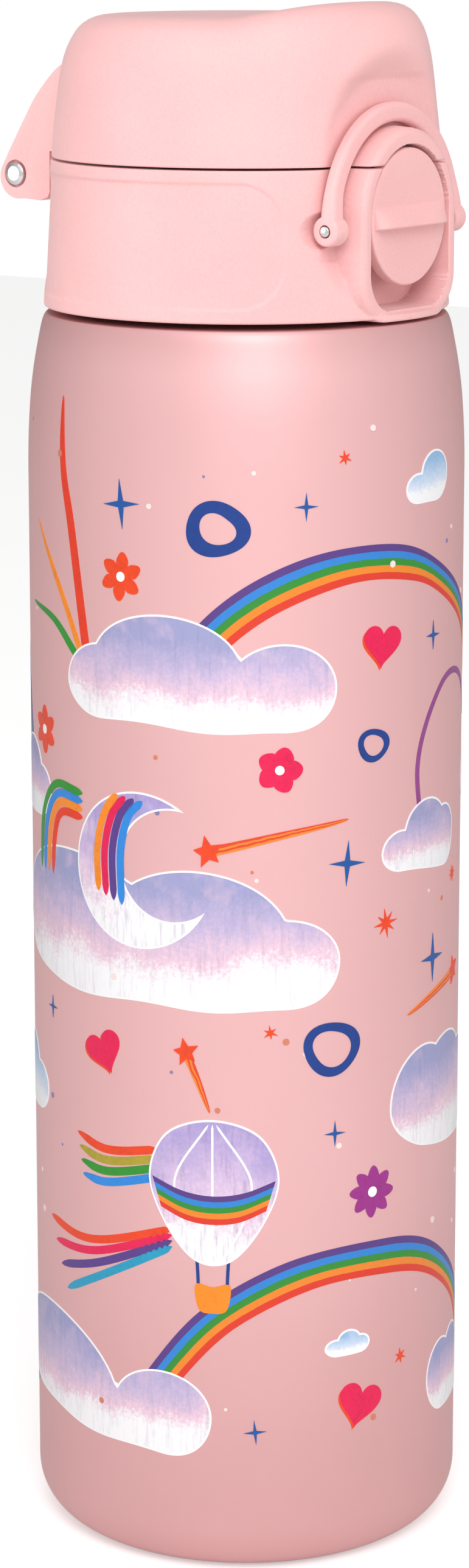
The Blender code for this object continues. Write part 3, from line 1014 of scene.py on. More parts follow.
@dataclass(frozen=True)
class Arch:
    """Upright outline with a round top and rounded foot corners."""

    half_width: float
    bottom: float
    top: float
    corner: float

    def distance(self, y: np.ndarray, z: np.ndarray) -> np.ndarray:
        """Signed distance to the outline, negative inside.

        Args:
            y: Sideways positions.
            z: Heights.

        Returns:
            The distances.
        """
        centre = self.top - self.half_width
        dome = np.hypot(y, z - centre) - self.half_width
        qy = np.abs(y) - (self.half_width - self.corner)
        qz = (self.bottom + self.corner) - z
        box = np.maximum(np.abs(y) - self.half_width, self.bottom - z)
        foot = np.where((qy > 0) & (qz > 0), np.hypot(qy, qz) - self.corner, box)
        return np.where(z > centre, dome, foot)


@dataclass(frozen=True)
class LatchHousing:
    """Raised frame round the button, as a relief on the cap's front."""

    frame: Arch = Arch(12.5, 187.4, 214.7, 6.0)
    well: Arch = Arch(10.15, 189.0, 212.15, 5.4)
    face: float = 28.8
    reach: float = 19.3
    well_back: float = 23.3
    inner_back: float = 22.2
    edge: float = 1.25
    lip: float = 0.35
    pivot: Point2 = (25.4, 200.8)
    eye_clearance: float = 2.9
    eye_floor: float = 13.7
    scoop: tuple[Point2, ...] = ((28.6, 188.6), (26.9, 191.0), (25.4, 193.6), (24.4, 196.2), (24.0, 198.6),
                                 (24.0, 218.4), (24.4, 220.8), (25.4, 223.4), (27.2, 226.2), (30.0, 228.5))
    scoop_wall: float = 1.8
    dish: Arch = Arch(17.8, 183.0, 220.6, 6.0)
    dish_fade: float = 5.0

    def hollowed(self, y: np.ndarray, z: np.ndarray, base: np.ndarray, behind: float = 0.0,
                 blend: float = 0.8) -> np.ndarray:
        """Draw a wall back to the hollow in which the lock loop lies.

        Args:
            y: Sideways positions.
            z: Heights.
            base: X of the plain wall there.
            behind: How far behind the hollow's back wall the surface runs.
            blend: Softness of the crease.

        Returns:
            X of the hollowed wall.
        """
        path = spline(self.scoop, 6)
        wall = np.interp(z, path[:, 1], path[:, 0], left=60.0, right=60.0) - behind
        t = np.clip(0.5 + 0.5 * (wall - base) / blend, 0.0, 1.0)
        sunk = wall + (base - wall) * t - blend * t * (1.0 - t)
        return base + (sunk - base) * ease(self.dish_fade, 0.0, self.dish.distance(y, z))

    def outer(self, y: np.ndarray, z: np.ndarray, base: np.ndarray, seam: float, up: bool) -> np.ndarray:
        """Front surface over the plain wall.

        Args:
            y: Sideways positions.
            z: Heights.
            base: X of the plain wall there.
            seam: Height of the joint face between collar and lid.
            up: Whether the piece lies above the seam.

        Returns:
            X of the finished front surface.
        """
        base = self.hollowed(y, z, base)
        depth = -self.frame.distance(y, z)
        e = np.clip(depth, 0.0, self.edge)
        crown = self.face - self.edge + np.sqrt(self.edge ** 2 - (self.edge - e) ** 2)
        rise = np.maximum(crown, base) - base
        wall = ease(-0.16, 0.16, depth)
        foot = np.minimum(rise, 1.4) * 0.3 * np.clip(1 + depth / 1.3, 0, 1) ** 2 * (depth < 0)
        x = base + rise * wall + np.where(depth < 0, foot * (1 - wall), 0.0)
        away = (z - seam) if up else (seam - z)
        x = x - np.where(depth > 0, 0.25 * (1 - np.clip(away / 0.25, 0, 1)) ** 2, 0.0)
        gap = self.well.distance(y, z)
        g = np.clip(gap, 0.0, self.lip)
        x = x - (self.lip - np.sqrt(self.lip ** 2 - (self.lip - g) ** 2)) * (gap > 0)
        inside = ease(-0.10, 0.10, -gap)
        return x + (self.well_back - x) * inside

    def inner(self, y: np.ndarray, z: np.ndarray, base: np.ndarray) -> np.ndarray:
        """Back surface of the housing inside the hollow cap.

        Args:
            y: Sideways positions.
            z: Heights.
            base: X of the plain inner wall there.

        Returns:
            X of the finished inner surface.
        """
        base = self.hollowed(y, z, base, self.scoop_wall)
        solid = ease(-0.2, 0.2, -self.frame.distance(y, z))
        return base + (np.minimum(self.inner_back, base) - base) * solid


@dataclass(frozen=True)
class ColumnPlan:
    """Where the upright grid lines of the collar and lid stand."""

    front_half: float = 19.0
    front_step: float = 0.19
    nominal_edge: float = 41.0
    stops: tuple[tuple[float, float], ...] = ((59.0, 0.5), (131.0, 2.0), (155.0, 0.6), (180.0, 2.0))

    def angles(self, radius: np.ndarray) -> np.ndarray:
        """Column angles for each row: fixed Y across the front, then by angle.

        Args:
            radius: Wall radius of each row, over front_half.

        Returns:
            (rows, columns) array of angles in radians.
        """
        count = 2 * int(round(self.front_half / self.front_step)) + 1
        y = np.linspace(-self.front_half, self.front_half, count)
        front = np.arcsin(y[None, :] / radius[:, None])
        side, at = [], self.nominal_edge
        for reach, step in self.stops:
            side.extend(np.linspace(at, reach, int(round((reach - at) / step)),
                                    endpoint=False)[0 if side else 1:])
            at = reach
        share = (np.array(side + [180.0]) - self.nominal_edge) / (180.0 - self.nominal_edge)
        edge = front[:, -1:]
        left = edge + (math.pi - edge) * share[None, :]
        return np.concatenate([front, left, 2 * math.pi - left[:, -2::-1]], axis=1)


HOUSING = LatchHousing()
COLUMNS = ColumnPlan()


def filleted(corners: Sequence[tuple[float, float, float]], steps: int = 5) -> np.ndarray:
    """Open outline whose inner corners are rounded.

    Args:
        corners: (radius, height, rounding) of each corner.
        steps: Samples per rounding.

    Returns:
        The outline without its first and last corner.
    """
    out = []
    for before, here, after in zip(corners, corners[1:], corners[2:]):
        p = np.array(here[:2])
        a, b = (np.array(o[:2]) - p for o in (before, after))
        a, b = a / np.linalg.norm(a), b / np.linalg.norm(b)
        reach = here[2] / math.tan(0.5 * math.acos(float(np.clip(a @ b, -1, 1))))
        for u in np.linspace(0.0, 1.0, steps):
            out.append((1 - u) ** 2 * (p + a * reach) + 2 * u * (1 - u) * p + u * u * (p + b * reach))
    return np.array(out)


def stepped(path: np.ndarray, step: float) -> np.ndarray:
    """Add points to an outline so that no span is longer than step.

    Args:
        path: Outline points.
        step: Longest span.

    Returns:
        The outline with more points.
    """
    out = []
    for a, b in zip(path[:-1], path[1:]):
        count = max(1, math.ceil(np.linalg.norm(b - a) / step))
        out.extend(a + (b - a) * k / count for k in range(count))
    return np.array(out + [path[-1]])


def relief_grid(outer: np.ndarray, inner: np.ndarray, hold: float,
                carve: Callable[[np.ndarray, np.ndarray], np.ndarray]) -> np.ndarray:
    """Grid of points for a turned shell with a latch relief at the front.

    Args:
        outer: Outline of the outer skin.
        inner: Outline of the rest, following on from it.
        hold: Height above which columns keep their angle, so that they meet at the axis.
        carve: Takes the (rows, columns, 3) points and the outer mask and returns new points.

    Returns:
        (rows, columns, 3) array of points.
    """
    profile = np.vstack([outer, inner])
    radius, height = profile[:, 0], profile[:, 1]
    skin = np.arange(len(profile)) < len(outer)
    low = height <= hold
    guide = np.where(low, radius, np.where(skin, radius[low & skin][-1], radius[low & ~skin][0]))
    angle = COLUMNS.angles(np.maximum(guide, 20.0))
    points = np.stack([radius[:, None] * np.cos(angle), radius[:, None] * np.sin(angle),
                       np.repeat(height[:, None], angle.shape[1], axis=1)], axis=2)
    return carve(points, np.repeat(skin[:, None], angle.shape[1], axis=1))


# --------------------------------------------------------------------------
# Cap
# --------------------------------------------------------------------------

@dataclass
class Collar:
    """Outer skirt of the cap with grip panels, latch housing and hinge lug."""

    bottom: Point2 = (29.95, 187.9)
    top: Point2 = (28.72, 209.2)
    inner_r: float = 25.8
    deck_hole_r: float = 19.0
    front_r: float = 20.5
    foot_blend: tuple[float, float] = (190.0, 2.1)
    flange_z: float = 207.2
    row_step: float = 0.2
    panel_depth: float = 0.24
    panel_angle: tuple[float, float] = (44.5, 152.0)
    panel_z: tuple[float, float] = (189.9, 207.4)
    panel_corner: float = 6.5
    lug_half: float = 4.5
    lug_r: float = 2.4

    def grip(self, points: np.ndarray) -> np.ndarray:
        """Depth of the grip panels at each point.

        Args:
            points: Grid points.

        Returns:
            How far each point is drawn in.
        """
        mid = 0.5 * (self.bottom[0] + self.top[0])
        a0, a1 = (math.radians(a) * mid for a in self.panel_angle)
        z0, z1 = self.panel_z
        s = np.abs(np.arctan2(points[..., 1], points[..., 0])) * mid
        qs = np.abs(s - 0.5 * (a0 + a1)) - (0.5 * (a1 - a0) - self.panel_corner)
        qz = np.abs(points[..., 2] - 0.5 * (z0 + z1)) - (0.5 * (z1 - z0) - self.panel_corner)
        edge = np.hypot(np.maximum(qs, 0), np.maximum(qz, 0)) + np.minimum(np.maximum(qs, qz), 0)
        return self.panel_depth * ease(0.16, -0.16, edge - self.panel_corner)

    def carve(self, points: np.ndarray, skin: np.ndarray) -> np.ndarray:
        """Shape panels, housing, foot of the housing and eye recesses.

        Args:
            points: Plain turned grid.
            skin: Which points belong to the outer skin.

        Returns:
            The shaped grid.
        """
        x, y, z = (points[..., k].copy() for k in range(3))
        frame_ = HOUSING.frame
        front = (x > 0) & (np.hypot(x, y) > self.front_r) & (np.abs(y) < HOUSING.reach)
        scale = 1 - np.where(skin, self.grip(points), 0) / np.hypot(x, y)
        corner = np.clip(np.abs(y) - (frame_.half_width - frame_.corner), 0, frame_.corner)
        rim = frame_.bottom + frame_.corner - np.sqrt(frame_.corner ** 2 - corner ** 2)
        sink = np.where(np.abs(y) < frame_.half_width, np.minimum(rim - self.bottom[1], 0), 0)
        z = z + np.where(front, sink * np.clip((self.foot_blend[0] - z) / self.foot_blend[1], 0, 1), 0)
        shaped = np.where(skin, HOUSING.outer(y, z, x, self.top[1], False), HOUSING.inner(y, z, x))
        x = np.where(front, shaped, x * scale)
        y = np.where(front, y, y * scale)
        away = np.hypot(x - HOUSING.pivot[0], z - HOUSING.pivot[1]) - HOUSING.eye_clearance
        push = ease(0.10, -0.10, away) * (skin & front & (np.abs(y) > HOUSING.eye_floor))
        y = y + np.sign(y) * (HOUSING.eye_floor - np.abs(y)) * push
        return np.stack([x, y, z], axis=2)

    def shell(self) -> bpy.types.Object:
        """Build the skirt.

        Returns:
            The skirt in the cap finish.
        """
        (rb, zb), (rt, zt) = self.bottom, self.top
        outer = stepped(filleted([(rb - 3, zb, 0), (rb, zb, 0.4), (rt, zt, 0.22), (rt - 3, zt, 0)]),
                        self.row_step)
        inner = filleted([(rt, zt, 0), (self.deck_hole_r, zt, 0.3), (self.deck_hole_r, self.flange_z, 0.2),
                          (self.inner_r, self.flange_z, 0.3), (self.inner_r, zb, 0.25), (rb, zb, 0)])
        grid = relief_grid(outer, inner, 300.0, self.carve)
        rows, cols = grid.shape[:2]
        solid = Solid(grid.reshape(-1, 3), quads(rows, cols, True, True))
        return dressed(solid.to_object("collar_skirt"), CAP_FINISH, Body.CAP, Slot.CAP, ["cap_collar"])

    def lug(self) -> bpy.types.Object:
        """Build the hinge lug at the back.

        Returns:
            The lug in the cap finish.
        """
        hx, hz = HINGE
        turn = np.radians(np.linspace(90, 250, 20))
        outline = [(-27.4, 202.6), (-27.4, 208.6), (-29.0, 208.45)]
        outline += [(hx + self.lug_r * math.cos(a), hz + self.lug_r * math.sin(a)) for a in turn]
        outline += [(-31.0, 202.4)]
        block = plate(outline, (-self.lug_half, self.lug_half))
        obj = cut(block.to_object("hinge_lug"), rod("bore", HINGE, HINGE_BORE, BORE_HALF))
        return dressed(softened(obj, 0.3), CAP_FINISH, Body.CAP, Slot.CAP)

    def build(self) -> None:
        """Build the skirt and its lug."""
        self.shell()
        self.lug()


def rod(name: str, centre: Point2, radius: float, half: float, side: float = 0.0,
        segments: int = 48, crown: float = 0.0) -> bpy.types.Object:
    """Round bar along Y with rounded ends.

    Args:
        name: Object name.
        centre: X and Z of its axis.
        radius: Bar radius.
        half: Half its length.
        side: Y of its middle.
        segments: Facets round it.
        crown: How far the ends are domed.

    Returns:
        The bar.
    """
    edge = min(0.18, radius * 0.25)
    end = filleted([(0.0, half + crown, 0), (radius, half, edge), (radius, 0.0, 0)], 4)
    outline = np.vstack([[(0.0, half + crown)], end, (end * (1, -1))[::-1], [(0.0, -half - crown)]])
    place = Matrix.Translation((centre[0], side, centre[1])) @ ALONG_Y
    return lathe(outline, segments).moved(place).to_object(name, 40.0)


@dataclass
class InnerCap:
    """Threaded sleeve, drinking deck, spout, air valve, seal and pins."""


    def sleeve(self, coil: Tree) -> None:
        """Build the sleeve with its deck and the thread inside it.

        Args:
            coil: Tree that winds the ridge.
        """
        ring = filleted([(12, 205.4, 0), (19.9, 205.4, 0.3), (19.9, 188.9, 0.35), (21.6, 188.9, 0.35),
                         (21.6, 206.9, 0.4), (8.0, 206.9, 0.3), (8.0, 205.4, 0.3), (12, 205.4, 0)])
        shell = lathe(ring, 160).to_object("thread_sleeve_wall")
        hole = lathe([(0, 203), (1.15, 203), (1.15, 209), (0, 209)], 32).moved(VENT_PLACE)
        cut(shell, hole.to_object("vent_hole"))
        dressed(shell, CAP_FINISH, Body.CAP, Slot.CAP, ["thread_sleeve"])
        ridge = coil.applied(empty_mesh_object("sleeve_thread"), {
            "Turns": THREAD_TURNS, "Radius": 19.95 * MM, "Rise": THREAD_LEAD * THREAD_TURNS * MM,
            "Wire": 1.1 * MM,
            "Centre": (0.0, 0.0, 192.6 * MM), "Material": CAP_FINISH.material()})
        dressed(ridge, CAP_FINISH, Body.CAP, Slot.CAP)

    def spout(self) -> None:
        """Build the soft spout with a rolled lip."""
        outline = spline([(3.7, 206.0), (3.6, 213.0), (3.6, 219.6), (3.9, 220.5), (4.7, 220.95), (5.6, 220.7),
                          (6.15, 219.9), (6.6, 217.5), (7.0, 214.0), (7.5, 211.2), (8.5, 209.4), (9.9, 208.8),
                          (11.0, 208.3), (11.15, 207.7), (10.9, 207.22)], 6)
        foot = np.array([(7.6, 207.2), (7.6, 204.4), (7.4, 204.2), (3.7, 204.2)])
        solid = lathe(np.vstack([outline, foot]), 128)
        dressed(solid.to_object("spout"), SPOUT_FINISH, Body.CAP, Slot.SPOUT, ["mouthpiece"])

    def valve(self) -> None:
        """Build the small mushroom valve."""
        cap = filleted([(0, 204.4, 0), (0.8, 204.4, 0.15), (0.8, 207.2, 0.05), (2.4, 207.2, 0.15),
                        (2.3, 207.9, 0.35), (0, 208.35, 0)], 4)
        solid = lathe(np.vstack([[(0, 204.4)], cap, [(0, 208.3)]]), 64).moved(VENT_PLACE)
        dressed(solid.to_object("air_valve"), SEAL_FINISH, Body.CAP, Slot.SEAL, ["vent_valve"])

    def seal(self) -> None:
        """Build the flat ring that closes on the neck."""
        ring = filleted([(18, 204.1, 0), (16.9, 204.1, 0.3), (16.9, 205.1, 0.3), (19.4, 205.1, 0.3),
                         (19.4, 204.1, 0.3), (18, 204.1, 0)], 4)
        dressed(lathe(ring, 128).to_object("neck_ring"), SEAL_FINISH, Body.SEAL_RING, Slot.SEAL,
                ["neck_seal"])

    def pins(self, coil: Tree) -> None:
        """Build both pins and the return spring.

        Args:
            coil: Tree that winds the spring.
        """
        axle = rod("latch_axle", HOUSING.pivot, 0.75, 17.3, crown=0.12)
        dressed(axle, STEEL_FINISH, Body.CAP, Slot.STEEL, ["latch_pin"])
        head = filleted([(0, 8.75, 0), (1.1, 8.72, 0.4), (1.7, 8.4, 0.25), (1.7, 7.9, 0.08), (1.0, 7.9, 0.03),
                         (1.0, 0, 0)], 5)
        outline = np.vstack([[(0, 8.75)], head, (head * (1, -1))[::-1], [(0, -8.75)]])
        place = Matrix.Translation((HINGE[0], 0, HINGE[1])) @ ALONG_Y
        pin = lathe(outline, 64).moved(place).to_object("hinge_rivet", 40.0)
        dressed(pin, STEEL_FINISH, Body.CAP, Slot.STEEL, ["hinge_pin"])
        back, front = HOUSING.well_back + 0.5, 26.2
        spring = coil.applied(empty_mesh_object("return_spring"), {
            "Turns": 3.0, "Radius": 1.5 * MM, "Rise": (front - back) * MM, "Wire": 0.2 * MM,
            "Centre": (back * MM, 0.0, 195.6 * MM), "Tilt": (0.0, math.radians(90), 0.0),
            "Material": STEEL_FINISH.material()})
        dressed(spring, STEEL_FINISH, Body.CAP, Slot.STEEL, ["button_spring"])

    def build(self, coil: Tree) -> None:
        """Build everything under the lid.

        Args:
            coil: Tree that winds threads and springs.
        """
        self.sleeve(coil)
        self.spout()
        self.valve()
        self.seal()
        self.pins(coil)


# --------------------------------------------------------------------------
# Lid
# --------------------------------------------------------------------------

@dataclass
class Lid:
    """Hollow lid with a raised brow, latch arch, hinge ears, plug and pad."""

    rim: Point2 = (28.58, 209.55)
    hold: float = 217.0
    wall: tuple[Point2, ...] = ((28.35, 213.0), (27.75, 218.0), (27.25, 221.4), (26.7, 223.8), (26.0, 225.7),
                                (25.1, 227.3), (24.2, 228.4), (22.9, 229.3), (21.2, 229.85), (19.0, 230.0),
                                (14.0, 230.0), (8.0, 230.0), (1.5, 230.0))
    lining: tuple[Point2, ...] = ((1.5, 228.0), (8.0, 228.0), (14.0, 228.0), (18.6, 228.0), (20.7, 227.7),
                                  (22.2, 226.9), (23.3, 225.8), (24.2, 224.4), (24.9, 222.6), (25.45, 220.6),
                                  (25.95, 218.0), (26.55, 213.0), (26.86, 210.0), (26.9, 209.55))
    brow: float = 2.2
    ear_y: tuple[float, float] = (4.9, 8.2)
    ear_back: tuple[Point2, ...] = ((-24.6, 223.6), (-27.4, 222.6), (-29.4, 221.2), (-31.8, 218.7),
                                    (-33.3, 216.8),
                                    (-34.8, 214.4), (-36.4, 211.8), (-37.9, 209.3))

    def carve(self, points: np.ndarray, skin: np.ndarray) -> np.ndarray:
        """Shape the latch arch and the brow.

        Args:
            points: Plain turned grid.
            skin: Which points belong to the outer skin.

        Returns:
            The shaped grid.
        """
        x, y, z = (points[..., k] for k in range(3))
        front = (x > 15.0) & (z <= HOUSING.scoop[-1][1]) & (np.abs(y) < HOUSING.reach)
        shaped = np.where(skin, HOUSING.outer(y, z, x, self.rim[1], True), HOUSING.inner(y, z, x))
        lift = self.brow * ease(8.0, 22.0, x) * ease(216.0, 227.0, z)
        return np.stack([np.where(front, shaped, x), y, z + lift], axis=2)

    def shell(self) -> None:
        """Build the lid itself."""
        r, z = self.rim
        foot = filleted([(r - 1, z, 0), (r, z, 0.22), (28.35, 213.0, 0)])
        wall = spline(np.vstack([foot[-1:], self.wall]), 10)
        outer = np.vstack([foot[:-1], respaced(wall, [(7.4, 0.18), (20.0, 0.35), (60.0, 1.0)])])
        inner = respaced(spline(self.lining, 8), [(16.0, 1.4), (28.0, 0.6), (60.0, 0.4)])
        grid = np.roll(relief_grid(outer, inner, self.hold, self.carve), len(inner), axis=0)
        rows, cols = grid.shape[:2]
        solid = poled(grid.reshape(-1, 3), quads(rows, cols, True, False), cols, inner[0, 1], outer[-1, 1])
        dressed(solid.to_object("lid_dome"), CAP_FINISH, Body.LID, Slot.CAP, ["lid_shell"])

    def ear(self, side: int) -> None:
        """Build one hinge ear with a sunk seat for the rivet head.

        Args:
            side: 1 or -1.
        """
        back = spline(self.ear_back, 5)
        knuckle = np.radians(np.linspace(165, 285, 18))
        nose = np.stack([-36.3 + 3.3 * np.cos(knuckle), 205.6 + 3.3 * np.sin(knuckle)], axis=1)
        front = np.array([(-32.0, 202.2), (-30.6, 202.7), (-30.2, 203.6), (-30.2, 209.55), (-27.3, 209.55),
                          (-26.6, 212.0), (-25.8, 218.0)])
        outline = np.vstack([back, nose, front])
        y0, y1 = sorted((side * self.ear_y[0], side * self.ear_y[1]))
        obj = plate(outline, (y0, y1)).to_object(
            f"hinge_ear_{'left' if side > 0 else 'right'}")
        cut(obj, rod("seat", HINGE, 2.05, 3.0, side * (self.ear_y[1] - 0.6 + 3.0)))
        cut(obj, rod("bore", HINGE, HINGE_BORE, BORE_HALF))
        dressed(softened(obj, 0.35), CAP_FINISH, Body.LID, Slot.CAP)

    def catch(self) -> None:
        """Build the lip that the button's hook holds."""
        outline = [(22.7, 209.55), (24.4, 209.55), (24.75, 209.75), (24.75, 210.1), (24.5, 210.25),
                   (22.7, 210.25)]
        lip = plate(outline, np.linspace(-3, 3, 9))
        dressed(softened(lip.to_object("catch_lip"), 0.08, 2), CAP_FINISH, Body.LID, Slot.CAP)

    def stopper(self) -> None:
        """Build the plug under the roof and its soft pad."""
        plug = filleted([(0, 224.4, 0), (7.2, 224.4, 0.3), (7.2, 225.4, 0.2), (5.6, 225.9, 0.3),
                         (5.6, 228.1, 0.2),
                         (0, 228.1, 0)])
        solid = lathe(np.vstack([[(0, 224.4)], plug, [(0, 228.1)]]), 96)
        dressed(solid.to_object("seal_plug"), PLUG_FINISH, Body.LID, Slot.PLUG, ["lid_plug"])
        pad = filleted([(0, 221.75, 0), (5.0, 221.75, 0.25), (5.4, 221.4, 0.25), (6.9, 221.4, 0.4),
                        (7.4, 222.0, 0.3), (7.4, 224.1, 0.4), (0, 224.1, 0)])
        solid = lathe(np.vstack([[(0, 221.75)], pad, [(0, 224.1)]]), 96)
        dressed(solid.to_object("seal_pad"), SEAL_FINISH, Body.LID, Slot.SEAL, ["lid_seal"])

    def build(self) -> None:
        """Build the lid and everything fixed to it."""
        self.shell()
        for side in (1, -1):
            self.ear(side)
        self.catch()
        self.stopper()


# --------------------------------------------------------------------------
# Latch
# --------------------------------------------------------------------------

@dataclass
class LockLoop:
    """Flat hoop that lies round the latch housing, on two eyes."""

    half_width: float = 15.65
    centre_z: float = 201.1
    section: Point2 = (2.0, 2.8)
    rounding: float = 0.75
    eye_r: float = 2.15
    swell: float = 6.5
    eye_y: tuple[float, float] = (14.2, 17.1)
    step: float = 1.5

    def build(self) -> None:
        """Build the hoop with its eyes."""
        (px, pz), r = HOUSING.pivot, self.half_width
        path = [(-r, pz - 0.3, 180.0), (-r, pz, 180.0)]
        path += [(r * math.cos(math.radians(a)), self.centre_z + r * math.sin(math.radians(a)), a)
                 for a in np.arange(180.0, -0.1, -self.step)]
        path += [(r, pz, 0.0), (r, pz - 0.3, 0.0)]
        thick, wide = self.section[0] / 2, self.section[1] / 2
        turn = np.radians(np.linspace(0, 90, 8))
        edge = np.concatenate([turn + k * math.pi / 2 for k in range(4)])
        sides = np.repeat([(1, 1), (-1, 1), (-1, -1), (1, -1)], len(turn), axis=0)
        across = sides[:, 0] * (wide - self.rounding) + self.rounding * np.cos(edge)
        deep = sides[:, 1] * (thick - self.rounding) + self.rounding * np.sin(edge)
        rings = []
        for y, z, a in path:
            grow = float(ease(pz + self.swell, pz, z))
            cosine, sine = math.cos(math.radians(a)), math.sin(math.radians(a))
            rings.append([(px + d * (1 + 0.3 * grow) + 0.25 * grow, y + w * (1 + 0.12 * grow) * cosine,
                           z + w * (1 + 0.12 * grow) * sine) for w, d in zip(across, deep)])
        hoop = sweep(np.array(rings)).to_object("lock_hoop")
        half = 0.5 * (self.eye_y[1] - self.eye_y[0])
        for side in (1, -1):
            outline = filleted([(0, half, 0), (self.eye_r, half, 0.5), (self.eye_r, -half, 0.3),
                                (0, -half, 0)], 6)
            eye = lathe(np.vstack([[(0, half)], outline, [(0, -half)]]), 72)
            place = Matrix.Translation((px, side * 0.5 * sum(self.eye_y), pz)) @ Matrix.Rotation(
                math.radians(-90 * side), 4, "X")
            joined(hoop, eye.moved(place).to_object("eye"))
        cut(hoop, rod("bore", HOUSING.pivot, AXLE_BORE, AXLE_BORE_HALF))
        hoop.data.shade_smooth()
        hoop.data.set_sharp_from_angle(angle=math.radians(40))
        dressed(hoop, CAP_FINISH, Body.LOOP, Slot.CAP, ["lock_loop"])


def joined(obj: bpy.types.Object, other: bpy.types.Object) -> bpy.types.Object:
    """Weld another object onto an object and remove it.

    Args:
        obj: Object that grows.
        other: Object that is added.

    Returns:
        The welded object.
    """
    mod = obj.modifiers.new("weld", "BOOLEAN")
    mod.operation = "UNION"
    mod.solver = "EXACT"
    mod.object = other
    baked(obj)
    bpy.data.objects.remove(other, do_unlink=True)
    return obj


@dataclass
class PushButton:
    """Rocking disc with a thumb ledge, barrel and hook."""

    radius: float = 9.8
    centre_z: float = 202.0
    depth: tuple[float, float] = (26.7, 28.5)
    ledge_half: float = 9.1
    ledge_rise: float = 1.7

    def disc(self) -> bpy.types.Object:
        """Build the disc with a softened rim.

        Returns:
            The disc.
        """
        back, face = self.depth
        outline = filleted([(0, face, 0), (self.radius, face, 0.45), (self.radius, back, 0.2), (0, back, 0)],
                           6)
        inner = np.linspace(0.0, outline[0, 0], 12)[1:-1]
        rows = np.vstack([[(0, face)], np.stack([inner, np.full(10, face)], axis=1), outline, [(0, back)]])
        turn = Matrix.Translation((0, 0, self.centre_z)) @ Matrix.Rotation(math.radians(90), 4, "Y")
        return lathe(rows, 192).moved(turn).to_object("push_button")

    def ledge(self) -> bpy.types.Object:
        """Build the thumb ledge: a sloped plateau over a sharp undercut.

        Returns:
            The ledge.
        """
        face, rise = self.depth[1], self.ledge_rise
        outline = [(-0.7, 203.95), (-0.02, 203.75), (0.22, 203.45), (0.42, 203.15), (0.62, 202.5),
                   (0.85, 201.7),
                   (1.0, 201.1), (1.02, 200.9), (0.97, 200.74), (0.85, 200.66), (0.4, 200.55), (-0.02,
                                                                                                200.35),
                   (-0.7, 200.2)]
        rings = []
        for y in self.ledge_half * np.sin(np.radians(np.linspace(-90, 90, 41))):
            fade = math.sqrt(max(0.0, 1 - abs(y / self.ledge_half) ** 7))
            rings.append([(face + (x * rise / 1.02 if x < 0 else x * rise / 1.02 * fade), y, z) for x,
                          z in outline])
        return sweep(np.array(rings)).to_object("ledge")

    def build(self) -> None:
        """Build the button."""
        obj = joined(self.disc(), self.ledge())
        joined(obj, rod("barrel", HOUSING.pivot, 1.8, 8.6))
        hook = [(25.1, 210.55), (26.2, 210.55), (27.4, 210.4), (27.4, 211.3), (25.35, 211.3), (25.1, 211.1)]
        joined(obj, plate(hook, (-3.0, 3.0)).to_object("hook"))
        cut(obj, rod("bore", HOUSING.pivot, AXLE_BORE, AXLE_BORE_HALF))
        obj.data.shade_smooth()
        obj.data.set_sharp_from_angle(angle=math.radians(32))
        dressed(obj, CAP_FINISH, Body.BUTTON, Slot.CAP, ["latch_button"])


# --------------------------------------------------------------------------
# Bottle
# --------------------------------------------------------------------------

@dataclass
class Bottle:
    """Blown body with rounded foot, drawn shoulder and threaded neck."""

    radius: float = 32.5
    wall: float = 1.5
    base_r: float = 25.0
    corner_h: float = 8.0
    neck_r: float = 18.2
    bore_r: float = 16.7
    neck_top: float = 203.8
    shoulder: tuple[Point2, ...] = ((32.5, 161.0), (32.5, 165.0), (32.4, 169.0), (32.2, 172.7), (31.9, 176.2),
                                    (31.4, 179.8), (30.75, 183.3), (30.3, 185.4), (29.95, 186.4))

    def outline(self) -> np.ndarray:
        """Outer and inner outline, from the base centre round to the inside base.

        Returns:
            Points of the outline.
        """
        turn = np.radians(np.linspace(0, 90, 22))
        foot = np.stack([self.base_r + (self.radius - self.base_r) * np.sin(turn),
                         self.corner_h * (1 - np.cos(turn))], axis=1)
        base = np.array([(0.0, 0.9), (10.0, 0.8), (20.0, 0.45), (22.5, 0.18), (23.6, 0.0)])
        wall = np.stack([np.full(26, self.radius), np.linspace(12.0, 160.0, 26)], axis=1)
        top = filleted([(29.95, 186.4, 0), (29.6, 186.9, 0.35), (20.6, 186.9, 0.1), (18.4, 187.6, 1.2),
                        (self.neck_r, self.neck_top, 0.4), (self.bore_r, self.neck_top, 0.4),
                        (self.bore_r, 187.6, 0.8), (19.0, 185.2, 0.8), (28.6, 185.2, 0.8), (30.4, 176.0, 3.0),
                        (self.radius - self.wall, 165.0, 3.0), (self.radius - self.wall, 9.0, 2.0)])
        turn = np.radians(np.linspace(90, 0, 12))
        inner_r = self.radius - self.wall
        inside = np.stack([24.0 + (inner_r - 24.0) * np.sin(turn), 1.8 + 7.0 * (1 - np.cos(turn))], axis=1)
        return np.vstack([base, foot, wall, spline(self.shoulder, 5), top, inside, [(0.0, 2.2)]])

    def build(self, coil: Tree) -> None:
        """Build the body and its thread.

        Args:
            coil: Tree that winds the ridge.
        """
        body = lathe(self.outline(), 256).to_object("bottle_shell", 35.0)
        dressed(body, BODY_FINISH, Body.BOTTLE, Slot.FROSTED, ["bottle_body"])
        ridge = coil.applied(empty_mesh_object("neck_thread"), {
            "Turns": THREAD_TURNS, "Radius": 18.15 * MM, "Rise": THREAD_LEAD * THREAD_TURNS * MM,
            "Wire": 1.15 * MM,
            "Centre": (0.0, 0.0, 194.6 * MM), "Material": BODY_FINISH.material()})
        dressed(ridge, BODY_FINISH, Body.BOTTLE, Slot.FROSTED)


# --------------------------------------------------------------------------
# Printed artwork
# --------------------------------------------------------------------------

SINK = 0.02
STRIP = 1.5


